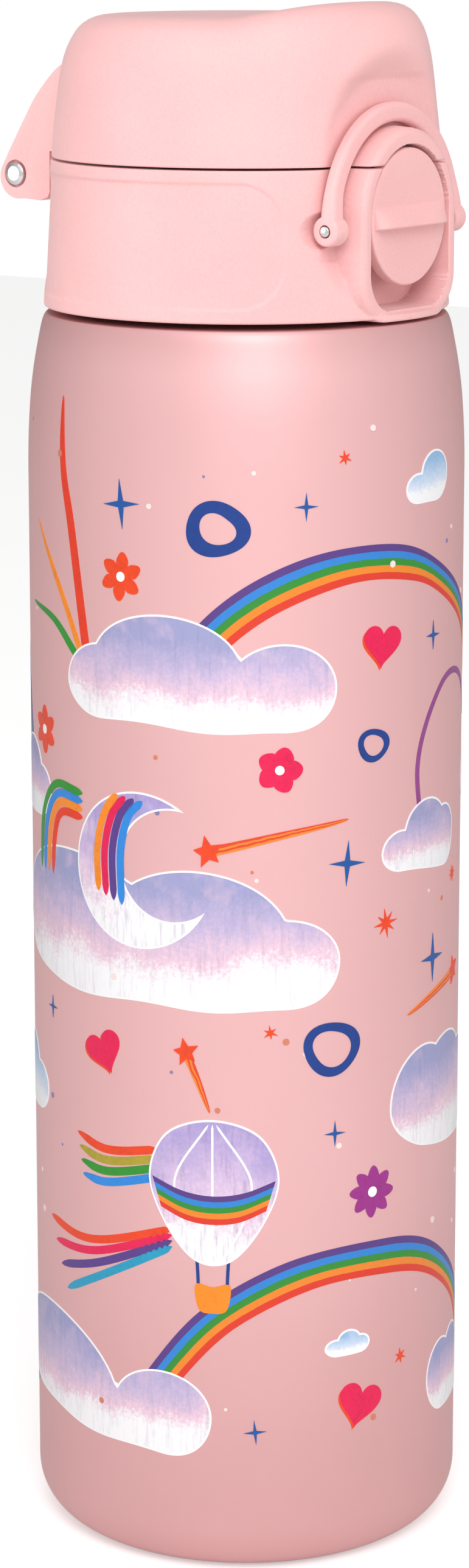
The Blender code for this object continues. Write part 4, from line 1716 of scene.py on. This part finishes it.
class Lift(float, Enum):
    """Heights of the ink layers over the wall, in millimetres."""

    BAND = 0.035
    EDGE = 0.045
    WASH = 0.06
    MARK = 0.075
    FIGURE = 0.09
    DETAIL = 0.11
    TOP = 0.13


def print_slab(outline: np.ndarray, lift: float) -> Solid:
    """Thin closed prism of a flat outline, cut into strips so that it can bend.

    Args:
        outline: (n, 2) outline, x along the girth and z up.
        lift: Height of the ink over the wall.

    Returns:
        The solid, with UVs that run over the outline's box.
    """
    ring = np.column_stack([outline[:, 0], np.zeros(len(outline)), outline[:, 1]])
    flat = sweep(np.array([ring - (0.0, lift, 0.0), ring + (0.0, SINK, 0.0)]))
    low, high = outline.min(axis=0), outline.max(axis=0)
    bm = bmesh.new()
    points = [bm.verts.new(v) for v in flat.verts]
    for face in flat.faces:
        bm.faces.new([points[i] for i in face])
    columns = np.arange(math.ceil(low[0] / STRIP) * STRIP, high[0], STRIP)
    rows = np.arange(163.0, high[1], 3.0)
    cuts = [((x, 0.0, 0.0), (1.0, 0.0, 0.0)) for x in columns]
    cuts += [((0.0, 0.0, z), (0.0, 0.0, 1.0)) for z in rows if z > low[1]]
    for place, normal in cuts:
        parts = bm.verts[:] + bm.edges[:] + bm.faces[:]
        bmesh.ops.bisect_plane(bm, geom=parts, dist=1e-6, plane_co=place, plane_no=normal)
    bm.verts.index_update()
    verts = np.array([v.co[:] for v in bm.verts])
    faces = [tuple(v.index for v in f.verts) for f in bm.faces]
    bm.free()
    return Solid(verts, faces, (verts[:, (0, 2)] - low) / (high - low))


def print_band(inner: np.ndarray, outer: np.ndarray, lift: float, closed: bool = False,
               across: int = 6) -> Solid:
    """Thin closed strip between two curves, with V from 0 inside to 1 outside.

    Args:
        inner: (n, 2) inner edge.
        outer: (n, 2) outer edge.
        lift: Height of the ink over the wall.
        closed: Whether the strip is a ring.
        across: Spans between the edges.

    Returns:
        The solid.
    """
    t = np.linspace(0.0, 1.0, across + 1)
    flat = inner[:, None, :] * (1 - t)[None, :, None] + outer[:, None, :] * t[None, :, None]
    front = np.stack([flat[..., 0], np.full(flat.shape[:2], -lift), flat[..., 1]], axis=2)
    back = np.stack([flat[..., 0], np.full(flat.shape[:2], SINK), flat[..., 1]], axis=2)[:, ::-1]
    rings = np.concatenate([front, back], axis=1)
    u = np.repeat(np.linspace(0.0, 1.0, len(rings))[:, None], rings.shape[1], axis=1)
    v = np.repeat(np.concatenate([t, t[::-1]])[None], len(rings), axis=0)
    uvs = np.stack([u, v], axis=2).reshape(-1, 2)
    if closed:
        return Solid(rings.reshape(-1, 3), quads(len(rings), rings.shape[1], True, True), uvs)
    strip = sweep(rings)
    return Solid(strip.verts, strip.faces, uvs)


def stroke(points: Sequence[Point2], width: float, lift: float,
           taper: tuple[float, float] = (1.0, 1.0)) -> Solid:
    """Brush stroke along a curve.

    Args:
        points: Control points.
        width: Widest part.
        lift: Height of the ink over the wall.
        taper: Length of the narrowing at the start and the end, in widths.

    Returns:
        The solid.
    """
    path = spline(points, 14)
    tangent = np.gradient(path, axis=0)
    tangent /= np.linalg.norm(tangent, axis=1)[:, None]
    side = np.column_stack([-tangent[:, 1], tangent[:, 0]])
    length = np.concatenate([[0.0], np.cumsum(np.linalg.norm(np.diff(path, axis=0), axis=1))])
    start = np.clip(length / (taper[0] * width), 0.0, 1.0)
    end = np.clip((length[-1] - length) / (taper[1] * width), 0.0, 1.0)
    half = width * (0.04 + 0.46 * np.sqrt(start * end))
    return print_band(path - side * half[:, None], path + side * half[:, None], lift, across=2)


def star_outline(centre: Point2, reach: float, arms: int, waist: float, turn: float = 0.0) -> np.ndarray:
    """Star with thin arms of slightly uneven length.

    Args:
        centre: Centre of the star.
        reach: Length of the longest arm.
        arms: Number of arms.
        waist: Radius between the arms as a share of reach.
        turn: Rotation in degrees.

    Returns:
        The outline.
    """
    angle = math.radians(90 + turn) + np.arange(2 * arms) * math.pi / arms
    uneven = np.where(np.arange(2 * arms) % 4 == 2, 0.86, 1.0)
    radius = np.where(np.arange(2 * arms) % 2 == 0, reach * uneven, reach * waist)
    return np.column_stack([centre[0] + radius * np.cos(angle), centre[1] + radius * np.sin(angle)])


def heart_outline(centre: Point2, width: float, turn: float) -> np.ndarray:
    """Hand-drawn heart.

    Args:
        centre: Centre of the heart.
        width: Width of the heart.
        turn: Rotation in degrees.

    Returns:
        The outline.
    """
    t = np.linspace(0.0, 2 * math.pi, 48, endpoint=False)
    x = 16 * np.sin(t) ** 3
    z = 13 * np.cos(t) - 5 * np.cos(2 * t) - 2 * np.cos(3 * t) - np.cos(4 * t) + 2.0
    a = math.radians(turn)
    scale = width / 32.0
    return np.column_stack([centre[0] + scale * (x * math.cos(a) - z * math.sin(a)),
                            centre[1] + scale * (x * math.sin(a) + z * math.cos(a))])


def crescent_outline(centre: Point2, radius: float, offset: float, bite: float, turn: float) -> np.ndarray:
    """Crescent left when a shifted disc is taken from a disc.

    Args:
        centre: Centre of the disc.
        radius: Radius of the disc.
        offset: Shift of the disc that is taken away.
        bite: Radius of the disc that is taken away.
        turn: Direction of the open side in degrees.

    Returns:
        The outline.
    """
    tip = math.acos((radius ** 2 + offset ** 2 - bite ** 2) / (2 * radius * offset))
    back = np.linspace(tip, 2 * math.pi - tip, 60)
    outer = radius * np.column_stack([np.cos(back), np.sin(back)])
    corner = math.atan2(outer[0, 1], outer[0, 0] - offset)
    front = np.linspace(2 * math.pi - corner, corner, 44)[1:-1]
    inner = bite * np.column_stack([np.cos(front), np.sin(front)]) + (offset, 0.0)
    a = math.radians(turn)
    spin = np.array([[math.cos(a), math.sin(a)], [-math.sin(a), math.cos(a)]])
    return np.vstack([outer, inner]) @ spin + np.array(centre)


def cloud_outline(lobes: Sequence[tuple[float, float, float, float]], base: Point2, grow: float = 0.0,
                  count: int = 110) -> np.ndarray:
    """Outline of a row of overlapping round lobes on a nearly flat base.

    Args:
        lobes: (x, z, half width, half height) of each lobe.
        base: Height of the base at its left and right end.
        grow: Width added all round.
        count: Samples along the top.

    Returns:
        The outline.
    """
    rows = np.array(lobes)
    wide, tall = rows[:, 2] + grow, rows[:, 3] + grow
    low, high = (rows[:, 0] - wide).min(), (rows[:, 0] + wide).max()
    first, last = np.argmin(rows[:, 0] - wide), np.argmax(rows[:, 0] + wide)
    x = low + (high - low) * 0.5 * (1 - np.cos(np.linspace(0.0, math.pi, count)))
    inside = 1 - ((x[:, None] - rows[:, 0]) / wide) ** 2
    half = tall * np.sqrt(np.clip(inside, 0.0, None))
    top = np.where(inside > -1e-9, rows[:, 1] + half, -1e3).max(axis=1)
    floor = np.interp(x, [low, high], base) - grow + 0.3 * np.sin(0.3 * x)
    drop = np.ones(len(x))
    drop = np.where(x < rows[first, 0], np.sqrt(np.clip(inside[:, first], 0.0, None)), drop)
    drop = np.where(x > rows[last, 0], np.sqrt(np.clip(inside[:, last], 0.0, None)), drop)
    side = np.interp(x, [rows[first, 0], rows[last, 0]], [rows[first, 1], rows[last, 1]])
    bottom = np.minimum(side - (side - floor) * drop, top)
    upper = np.column_stack([x, top])
    lower = np.column_stack([x, bottom])[1:-1][::-1]
    return np.vstack([upper, lower])


@dataclass
class Decoration:
    """Dreamy sky print: two identical designs built flat and bent onto the wall."""

    facing: float = -31.2
    repeat: float = math.pi * 32.5
    layers: dict[str, tuple[Finish, list[Solid]]] = field(default_factory=dict)
    wrap: Tree = field(default_factory=wrap_tree)
    petals: Tree = field(default_factory=petal_tree)
    spray: Tree = field(default_factory=spray_tree)

    def add(self, finish: Finish, *solids: Solid) -> None:
        """Put solids in the layer of a finish."""
        self.layers.setdefault(finish.name, (finish, []))[1].extend(solids)

    def ink(self, hue: Hue, *solids: Solid) -> None:
        """Put solids in the layer of a plain ink."""
        self.add(Ink("ink_" + hue.name.lower(), hue.value), *solids)

    def rainbow(self, outer: Sequence[Point2], inner: Sequence[Point2], lift: float = Lift.BAND) -> None:
        """Five-coloured bow between two matching curves."""
        self.add(RAINBOW_FINISH, print_band(spline(inner, 14), spline(outer, 14), lift, across=8))

    def cloud(self, finish: Finish, base: Point2, *lobes: tuple[float, float, float, float]) -> None:
        """Washed cloud with a thin white edge."""
        self.add(OUTLINE_FINISH, print_slab(cloud_outline(lobes, base, 0.3), Lift.EDGE))
        self.add(finish, print_slab(cloud_outline(lobes, base), Lift.WASH))

    def sparkle(self, x: float, z: float, size: float, turn: float = 0.0) -> None:
        """Blue four-armed sparkle."""
        outline = star_outline((x, z), 0.52 * size, 4, 0.18, turn)
        self.ink(Hue.BLUE, print_slab(outline, Lift.MARK))

    def asterisk(self, x: float, z: float, size: float, arms: int = 6) -> None:
        """Small orange star with many arms."""
        outline = star_outline((x, z), 0.5 * size, arms, 0.32, 8.0)
        self.ink(Hue.VIVID_ORANGE, print_slab(outline, Lift.MARK))

    def heart(self, x: float, z: float, width: float, turn: float) -> None:
        """Crimson heart with an orange rim on one side."""
        self.ink(Hue.VIVID_ORANGE, print_slab(heart_outline((x - 0.3, z - 0.3), width, turn), Lift.EDGE))
        self.ink(Hue.CRIMSON, print_slab(heart_outline((x, z), width, turn), Lift.MARK))

    def hoop(self, x: float, z: float, wide: float, high: float, width: float) -> None:
        """Indigo ring drawn with a thick brush.

        Args:
            x: Place along the girth.
            z: Height.
            wide: Outer width.
            high: Outer height.
            width: Width of the stroke.
        """
        a = np.linspace(0.0, 2 * math.pi, 64, endpoint=False)
        wave = 1 + 0.05 * np.sin(3 * a + x)
        outer = np.column_stack([x + 0.5 * wide * wave * np.cos(a), z + 0.5 * high * wave * np.sin(a)])
        shrink = 1 - width * (1 + 0.12 * np.sin(2 * a)) / (0.25 * (wide + high))
        inner = np.array([x, z]) + (outer - (x, z)) * shrink[:, None]
        self.ink(Hue.INDIGO, print_band(inner, outer, Lift.MARK, True, 3))

    def flower(self, hue: Hue, x: float, z: float, size: float, count: int, turn: float,
               plump: float) -> None:
        """Flower of equal petals round a white eye.

        Args:
            hue: Ink of the petals.
            x: Place along the girth.
            z: Height.
            size: Diameter.
            count: Number of petals.
            turn: Rotation in degrees.
            plump: Half width of a petal as a share of the diameter.
        """
        reach = 0.5 * size
        root = 0.19 * reach * math.tan(math.pi / count)
        wide = 2 * plump * reach
        shape = spline([(0.0, 0.06 * reach), (root, 0.19 * reach), (wide, 0.62 * reach),
                        (0.35 * wide, 0.98 * reach),
                        (-0.45 * wide, reach), (-wide, 0.60 * reach), (-root, 0.19 * reach)], 6, True)
        petal = print_slab(shape, Lift.MARK).to_object("petal")
        self.petals.applied(petal, {"Count": count, "Centre": (x * MM, 0.0, z * MM),
                                    "Turn": math.radians(turn)})
        verts = np.array([v.co[:] for v in petal.data.vertices]) / MM
        faces = [tuple(p.vertices) for p in petal.data.polygons]
        bpy.data.objects.remove(petal, do_unlink=True)
        self.ink(hue, Solid(verts, faces, np.zeros((len(verts), 2))))
        a = np.linspace(0.0, 2 * math.pi, 20, endpoint=False)
        eye = np.column_stack([x + 0.21 * reach * np.cos(a), z + 0.21 * reach * np.sin(a)])
        self.add(OUTLINE_FINISH, print_slab(eye, Lift.FIGURE))

    def comet(self, tip: Point2, head: Point2, width: float, size: float) -> None:
        """Shooting star: a striped tail that widens towards an orange star.

        Args:
            tip: Thin end of the tail.
            head: Centre of the star.
            width: Widest part of the tail.
            size: Diameter of the star.
        """
        middle = ((tip[0] + head[0]) / 2, (tip[1] + head[1]) / 2 + 0.3)
        reach = math.hypot(head[0] - tip[0], head[1] - tip[1])
        self.add(COMET_FINISH, stroke([tip, middle, head], width, Lift.DETAIL, (reach / width, 0.5)))
        self.ink(Hue.VIVID_ORANGE, print_slab(star_outline(head, 0.5 * size, 5, 0.45, 12.0), Lift.TOP))

    def skies(self) -> None:
        """Rainbows, arcs and clouds."""
        self.rainbow([(-12.0, 137.5), (-6.7, 145.7), (1.7, 152.1), (12.0, 155.7), (24.2, 155.8),
                      (33.8, 152.2),
                      (44.4, 145.3), (53.5, 134.5), (59.0, 120.0)],
                     [(-7.6, 135.0), (-2.8, 141.9), (5.1, 147.5), (15.8, 150.9), (25.9, 150.4), (33.9, 147.6),
                      (44.8, 140.5), (51.0, 131.5), (54.6, 119.0)])
        self.rainbow([(-18.6, 26.0), (-15.5, 31.7), (-6.4, 42.7), (6.4, 50.0), (20.7, 51.4), (32.4, 48.7),
                      (44.6, 39.8), (52.5, 29.5), (57.5, 22.5)],
                     [(-13.4, 25.0), (-10.3, 30.6), (-1.7, 39.8), (10.1, 45.4), (22.2, 45.8), (32.5, 43.1),
                      (42.8, 35.9), (49.4, 26.8), (54.4, 20.5)])
        fade = (9.0, 1.0)
        self.ink(Hue.RED, stroke([(-31.6, 176.5), (-30.9, 166.0), (-28.9, 156.9), (-25.6, 138.5)], 1.7,
                                    Lift.BAND, fade))
        self.ink(Hue.ORANGE, stroke([(-39.4, 157.8), (-31.5, 147.4), (-26.4, 138.4)], 1.1, Lift.BAND, fade))
        self.ink(Hue.GREEN, stroke([(-42.2, 145.1), (-33.9, 143.5), (-27.6, 138.7)], 1.3, Lift.BAND, fade))
        self.ink(Hue.MAUVE, stroke([(49.0, 126.5), (45.5, 132.3), (40.5, 134.9), (35.5, 133.9), (30.9, 128.8),
                                         (28.6, 122.2), (29.5, 113.7)], 1.0, Lift.BAND, (4.0, 1.0)))
        self.cloud(CLOUD_FINISH, (131.2, 129.4), (-22.6, 135.5, 7.2, 5.8), (-12.6, 138.5, 11.8, 7.8),
                   (5.2, 136.0, 7.9, 6.4))
        self.cloud(CLOUD_FINISH, (89.5, 88.4), (-30.0, 97.0, 18.0, 12.6), (-8.0, 98.0, 14.5, 11.0),
                   (5.5, 95.5, 8.3, 6.3))
        self.cloud(CLOUD_FINISH, (23.5, 18.4), (-37.5, 24.5, 17.0, 12.6), (-13.4, 25.4, 7.9, 6.6))
        self.cloud(CLOUD_FINISH, (65.0, 61.6), (31.2, 71.0, 7.7, 8.4), (38.6, 73.0, 7.6, 6.6),
                   (46.0, 71.0, 5.6, 6.0))
        self.cloud(CLOUD_FINISH, (107.4, 106.4), (25.2, 110.2, 3.7, 3.0), (31.3, 112.6, 5.2, 4.4),
                   (36.4, 111.2, 3.4, 4.0))
        self.cloud(CLOUD_FINISH, (20.6, 19.6), (37.6, 25.6, 4.7, 5.4), (43.2, 26.4, 4.6, 5.2),
                   (48.4, 25.0, 3.8, 4.4))
        self.cloud(CLOUD_FINISH, (113.6, 113.2), (52.0, 117.0, 4.6, 3.9), (57.5, 119.0, 5.2, 5.2),
                   (62.5, 117.0, 3.8, 3.6))
        self.cloud(SKY_FINISH, (67.4, 66.9), (-47.0, 72.4, 4.4, 5.2), (-42.0, 70.6, 4.0, 3.5))
        self.cloud(SKY_FINISH, (161.0, 161.9), (28.4, 163.4, 2.6, 2.0), (32.6, 165.2, 3.4, 3.2))
        self.cloud(SKY_FINISH, (34.7, 34.9), (13.9, 35.6, 1.7, 1.1), (16.0, 36.4, 1.8, 1.6),
                   (18.0, 35.9, 1.3, 1.1))

    def marks(self) -> None:
        """Sparkles, hoops, hearts, flowers and small stars."""
        self.sparkle(-19.0, 162.1, 7.0, 4.0)
        self.sparkle(8.6, 162.3, 4.0)
        self.sparkle(32.4, 141.4, 4.2)
        self.sparkle(15.2, 109.8, 6.6, -3.0)
        self.sparkle(33.2, 92.5, 7.2)
        self.sparkle(-35.8, 84.3, 3.4)
        self.sparkle(13.4, 69.1, 3.8)
        self.sparkle(1.3, 23.4, 3.8, 5.0)
        self.hoop(-4.2, 159.2, 9.3, 8.0, 1.9)
        self.hoop(19.6, 126.9, 5.6, 4.9, 0.95)
        self.hoop(12.9, 82.2, 9.0, 8.2, 1.4)
        self.heart(21.1, 141.2, 6.9, -6.0)
        self.heart(-22.7, 80.1, 7.0, 24.0)
        self.heart(17.8, 25.9, 7.6, -16.0)
        self.flower(Hue.VIVID_ORANGE, -19.1, 151.6, 6.9, 6, 8.0, 0.15)
        self.flower(Hue.VIVID_ORANGE, -37.7, 126.4, 7.0, 6, 0.0, 0.15)
        self.flower(Hue.CRIMSON, 4.8, 124.3, 6.6, 5, 20.0, 0.22)
        self.flower(Hue.PLUM, 19.9, 59.1, 7.7, 8, 5.0, 0.13)
        self.asterisk(14.5, 169.0, 2.3)
        self.asterisk(22.1, 99.9, 4.6, 8)
        self.asterisk(3.5, 85.2, 2.4)
        self.asterisk(25.8, 31.9, 2.7)
        self.asterisk(40.5, 103.8, 2.6, 8)

    def moon(self) -> None:
        """Crescent moon with draped ribbons, resting on the middle cloud."""
        shape = crescent_outline((-16.4, 108.6), 11.4, 5.4, 8.6, 12.0)
        rim = crescent_outline((-16.4, 108.6), 11.7, 5.4, 8.3, 12.0)
        self.add(OUTLINE_FINISH, print_slab(rim, Lift.MARK))
        self.add(MOON_FINISH, print_slab(shape, Lift.FIGURE))
        drape = (Hue.ORANGE, Hue.CRIMSON, Hue.PURPLE, Hue.SKY)
        for k, hue in enumerate(drape):
            x = -19.4 + 1.45 * k
            curve = [(x - 0.6, 119.6 - 0.2 * k), (x - 3.0, 116.4), (x - 4.4, 111.0),
                     (x - 4.2, 104.6 - 0.5 * k)]
            self.ink(hue, stroke(curve, 1.25, Lift.DETAIL, (0.8, 1.2)))
        trail = (Hue.GREEN, Hue.SKY, Hue.ORANGE, Hue.RED)
        for k, hue in enumerate(trail):
            curve = [(-27.0, 118.6 - 1.2 * k), (-34.0 + 0.6 * k, 118.8 - 1.3 * k),
                     (-38.6 + 1.4 * k, 113.4 - 0.7 * k),
                     (-39.6 + 1.5 * k, 105.0)]
            self.ink(hue, stroke(curve, 1.2, Lift.MARK, (1.0, 2.0)))
        self.comet((15.3, 116.4), (-5.6, 112.2), 1.5, 5.0)

    def balloon(self) -> None:
        """Hot-air balloon with trailing streamers above the lower rainbow."""
        edge = [(-5.0, 71.6), (1.8, 69.3), (4.6, 62.8), (2.2, 55.8), (-2.4, 50.4), (-7.6, 50.4),
                (-12.2, 55.8),
                (-14.6, 62.8), (-11.8, 69.3)]
        envelope = spline(edge, 10, True)
        centre = envelope.mean(axis=0)
        self.add(OUTLINE_FINISH, print_slab(centre + (envelope - centre) * 1.03, Lift.MARK))
        self.add(MOON_FINISH, print_slab(envelope, Lift.FIGURE))
        self.rainbow([(-14.3, 62.6), (-9.6, 60.8), (-5.0, 60.2), (-0.4, 60.8), (4.3, 62.6)],
                     [(-12.9, 58.0), (-9.0, 56.3), (-5.0, 55.8), (-1.0, 56.3), (2.9, 58.0)], Lift.DETAIL)
        for bulge in (-5.6, 0.0, 5.6):
            gore = [(-5.0 + 0.1 * bulge, 71.2), (-5.0 + bulge, 63.0), (-5.0 + 0.82 * bulge, 56.4),
                    (-5.0 + 0.34 * bulge, 50.9)]
            self.add(OUTLINE_FINISH, stroke(gore, 0.34, Lift.FIGURE + 0.01))
        for x in (-7.4, -2.6):
            self.ink(Hue.INDIGO, stroke([(x, 50.7), (x * 0.94 - 0.3, 48.4), (x * 0.9 - 0.5, 46.0)], 0.5,
                                              Lift.BAND))
        basket = spline([(-7.6, 46.4), (-5.0, 46.1), (-2.4, 46.4), (-2.9, 42.6), (-5.0, 42.0), (-7.1, 42.6)],
                        8, True)
        self.ink(Hue.ORANGE, print_slab(basket, Lift.MARK))
        upper = (Hue.VIVID_ORANGE, Hue.OLIVE, Hue.GREEN, Hue.SKY)
        for k, hue in enumerate(upper):
            curve = [(-28.8 + 0.4 * k, 66.6 - 2.1 * k), (-22.5, 65.2 - 1.7 * k), (-13.4, 66.6 - 1.4 * k)]
            self.ink(hue, stroke(curve, 1.3, Lift.BAND, (2.0, 1.0)))
        lower = (Hue.VIVID_ORANGE, Hue.CRIMSON, Hue.PURPLE, Hue.TEAL)
        for k, hue in enumerate(lower):
            curve = [(-37.1 + 1.7 * k, 51.2 - 3.4 * k), (-26.0 + 1.0 * k, 50.4 - 1.6 * k),
                     (-11.2, 54.6 - 0.9 * k)]
            self.ink(hue, stroke(curve, 1.25, Lift.BAND, (2.0, 1.0)))
        self.comet((-5.4, 73.0), (-9.0, 82.0), 1.3, 4.4)
        self.comet((26.8, 85.0), (41.5, 88.6), 1.4, 4.6)

    def build(self) -> None:
        """Draw every layer twice round the bottle and add the spray of dots."""
        self.skies()
        self.marks()
        self.moon()
        self.balloon()
        twin = Matrix.Translation((self.repeat, 0.0, 0.0))
        for name, (finish, solids) in self.layers.items():
            whole = solids[0]
            for solid in solids[1:]:
                whole = whole.joined(solid)
            both = whole.joined(whole.moved(twin))
            self.bent(both.to_object("print_" + name), finish)
        for seed, (finish, density) in enumerate(((DOT_WHITE, 1500.0), (DOT_WARM, 900.0), (DOT_COOL, 500.0)),
                                                 3):
            dots = empty_mesh_object("print_" + finish.name)
            self.spray.applied(dots, {"Width": 0.2042, "Height": 0.150, "Corner": (0.0, 0.0, 0.098),
                                      "Seed": seed,
                                      "Density": density, "Dot": 0.00042})
            self.bent(dots, finish)

    def bent(self, obj: bpy.types.Object, finish: Finish) -> bpy.types.Object:
        """Bend a flat layer onto the wall and dress it."""
        self.wrap.applied(obj, {"Shift": self.facing * MM, "Material": finish.material()})
        return dressed(obj, finish, Body.BOTTLE, Slot.FROSTED)


# --------------------------------------------------------------------------
# Studio
# --------------------------------------------------------------------------

@dataclass(frozen=True)
class Studio:
    """White sweep, soft lights and the camera."""

    azimuth: float = 35.0
    distance: float = 590.0
    height: float = 246.9
    pitch: float = 12.59
    lens: float = 91.4
    shift_x: float = -0.0076

    def camera(self) -> None:
        """Place the camera and make it the scene's camera."""
        data = bpy.data.cameras.new("studio_camera")
        data.sensor_width = 36.0
        data.lens = self.lens
        data.shift_x = self.shift_x
        data.clip_start = 0.02
        cam = bpy.data.objects.new("studio_camera", data)
        a = math.radians(self.azimuth)
        aside = Vector((math.sin(a), -math.cos(a), 0)) * self.distance
        cam.location = (aside + Vector((0, 0, self.height))) * MM
        cam.rotation_euler = (math.radians(90 - self.pitch), 0.0, a)
        bpy.context.collection.objects.link(cam)
        bpy.context.scene.camera = cam
        bpy.context.scene.view_settings.view_transform = "Standard"

    def world(self) -> None:
        """White backdrop for the camera, softer and darker at the sides for the light."""
        world = bpy.data.worlds.new("studio_world")
        bpy.context.scene.world = world
        world.use_nodes = True
        world.node_tree.nodes.clear()
        build = NodeBuilder(world.node_tree)
        coords = build.node("TexCoord").outputs["Generated"]
        a = math.radians(self.azimuth)
        facing = build.node("VectorMath", {"operation": "DOT_PRODUCT"}, _0=coords,
                            _1=(math.sin(a), -math.cos(a), 0.25))
        level = build.node("MapRange", Value=facing.outputs["Value"], From_Min=-0.5, From_Max=0.9,
                           To_Min=0.26,
                           To_Max=0.74)
        soft = build.node("Background", Color=(1.0, 0.99, 0.985, 1.0), Strength=level.outputs[0])
        backdrop = build.node("Background", Color=(1.0, 1.0, 1.0, 1.0), Strength=1.0)
        view = build.node("LightPath").outputs["Is Camera Ray"]
        mixed = build.node("MixShader", _0=view, _1=soft.outputs[0], _2=backdrop.outputs[0])
        build.node("OutputWorld", Surface=mixed.outputs[0])

    def light(self, name: str, turn: float, height: float, distance: float, size: float, power: float,
              only: bpy.types.Collection | None = None) -> None:
        """Add a soft area light aimed at the bottle.

        Args:
            name: Light name.
            turn: Direction in degrees to the right of the camera.
            height: Height in millimetres.
            distance: Distance from the axis in millimetres.
            size: Side of the light in millimetres.
            power: Power in watts.
            only: Pieces that it lights, or None for all.
        """
        data = bpy.data.lights.new(name, "AREA")
        data.energy = power
        data.size = size * MM
        lamp = bpy.data.objects.new(name, data)
        a = math.radians(self.azimuth + turn)
        lamp.location = Vector((math.sin(a) * distance, -math.cos(a) * distance, height)) * MM
        aim = Vector((0, 0, 120)) * MM - lamp.location
        lamp.rotation_euler = aim.to_track_quat("-Z", "Y").to_euler()
        bpy.context.collection.objects.link(lamp)
        if only is not None:
            lamp.light_linking.receiver_collection = only

    def floor(self) -> None:
        """Lay the plain pale floor."""
        size = 1600.0
        top = np.array([(x * size, y * size) for x, y in ((-1, -1), (1, -1), (1, 1), (-1, 1))])
        verts = np.vstack([np.column_stack([top, np.full(4, z)]) for z in (-8.0, -0.05)])
        solid = sweep(verts.reshape(2, 4, 3))
        obj = solid.to_object("studio_floor")
        s = Shader("floor_paper")
        fibre = s.noise(400.0, 3.0)
        colour = s.mix(s.math("MULTIPLY", fibre, 0.02), linear(252, 252, 252), linear(244, 244, 244))
        s.links.new(colour, s.principled.inputs["Base Color"])
        s.principled.inputs["Roughness"].default_value = 0.9
        s.principled.inputs["Specular IOR Level"].default_value = 0.1
        s.principled.inputs["Emission Color"].default_value = (1.0, 1.0, 1.0, 1.0)
        seen = s.node("LightPath").outputs["Is Camera Ray"]
        s.links.new(s.math("MULTIPLY", seen, 0.42), s.principled.inputs["Emission Strength"])
        obj.data.materials.append(s.material)

    def build(self) -> None:
        """Set up the whole studio."""
        self.camera()
        self.world()
        self.light("key_softbox", 6.0, 650.0, 700.0, 460.0, 3.7)
        self.light("top_fill", -20.0, 1000.0, 500.0, 600.0, 1.25)
        cap = bpy.data.collections.new("cap_pieces")
        self.light("cap_fill_left", -72.0, 260.0, 600.0, 260.0, 1.1, cap)
        self.light("cap_fill_right", 72.0, 260.0, 600.0, 260.0, 0.55, cap)
        self.floor()


def main() -> None:
    """Build every sub-assembly in order."""
    logging.basicConfig(level=logging.INFO, format="%(name)s: %(message)s")
    Studio().build()
    coil = coil_tree()
    Bottle().build(coil)
    Decoration().build()
    Collar().build()
    InnerCap().build(coil)
    Lid().build()
    LockLoop().build()
    PushButton().build()


if __name__ == "__main__":
    main()
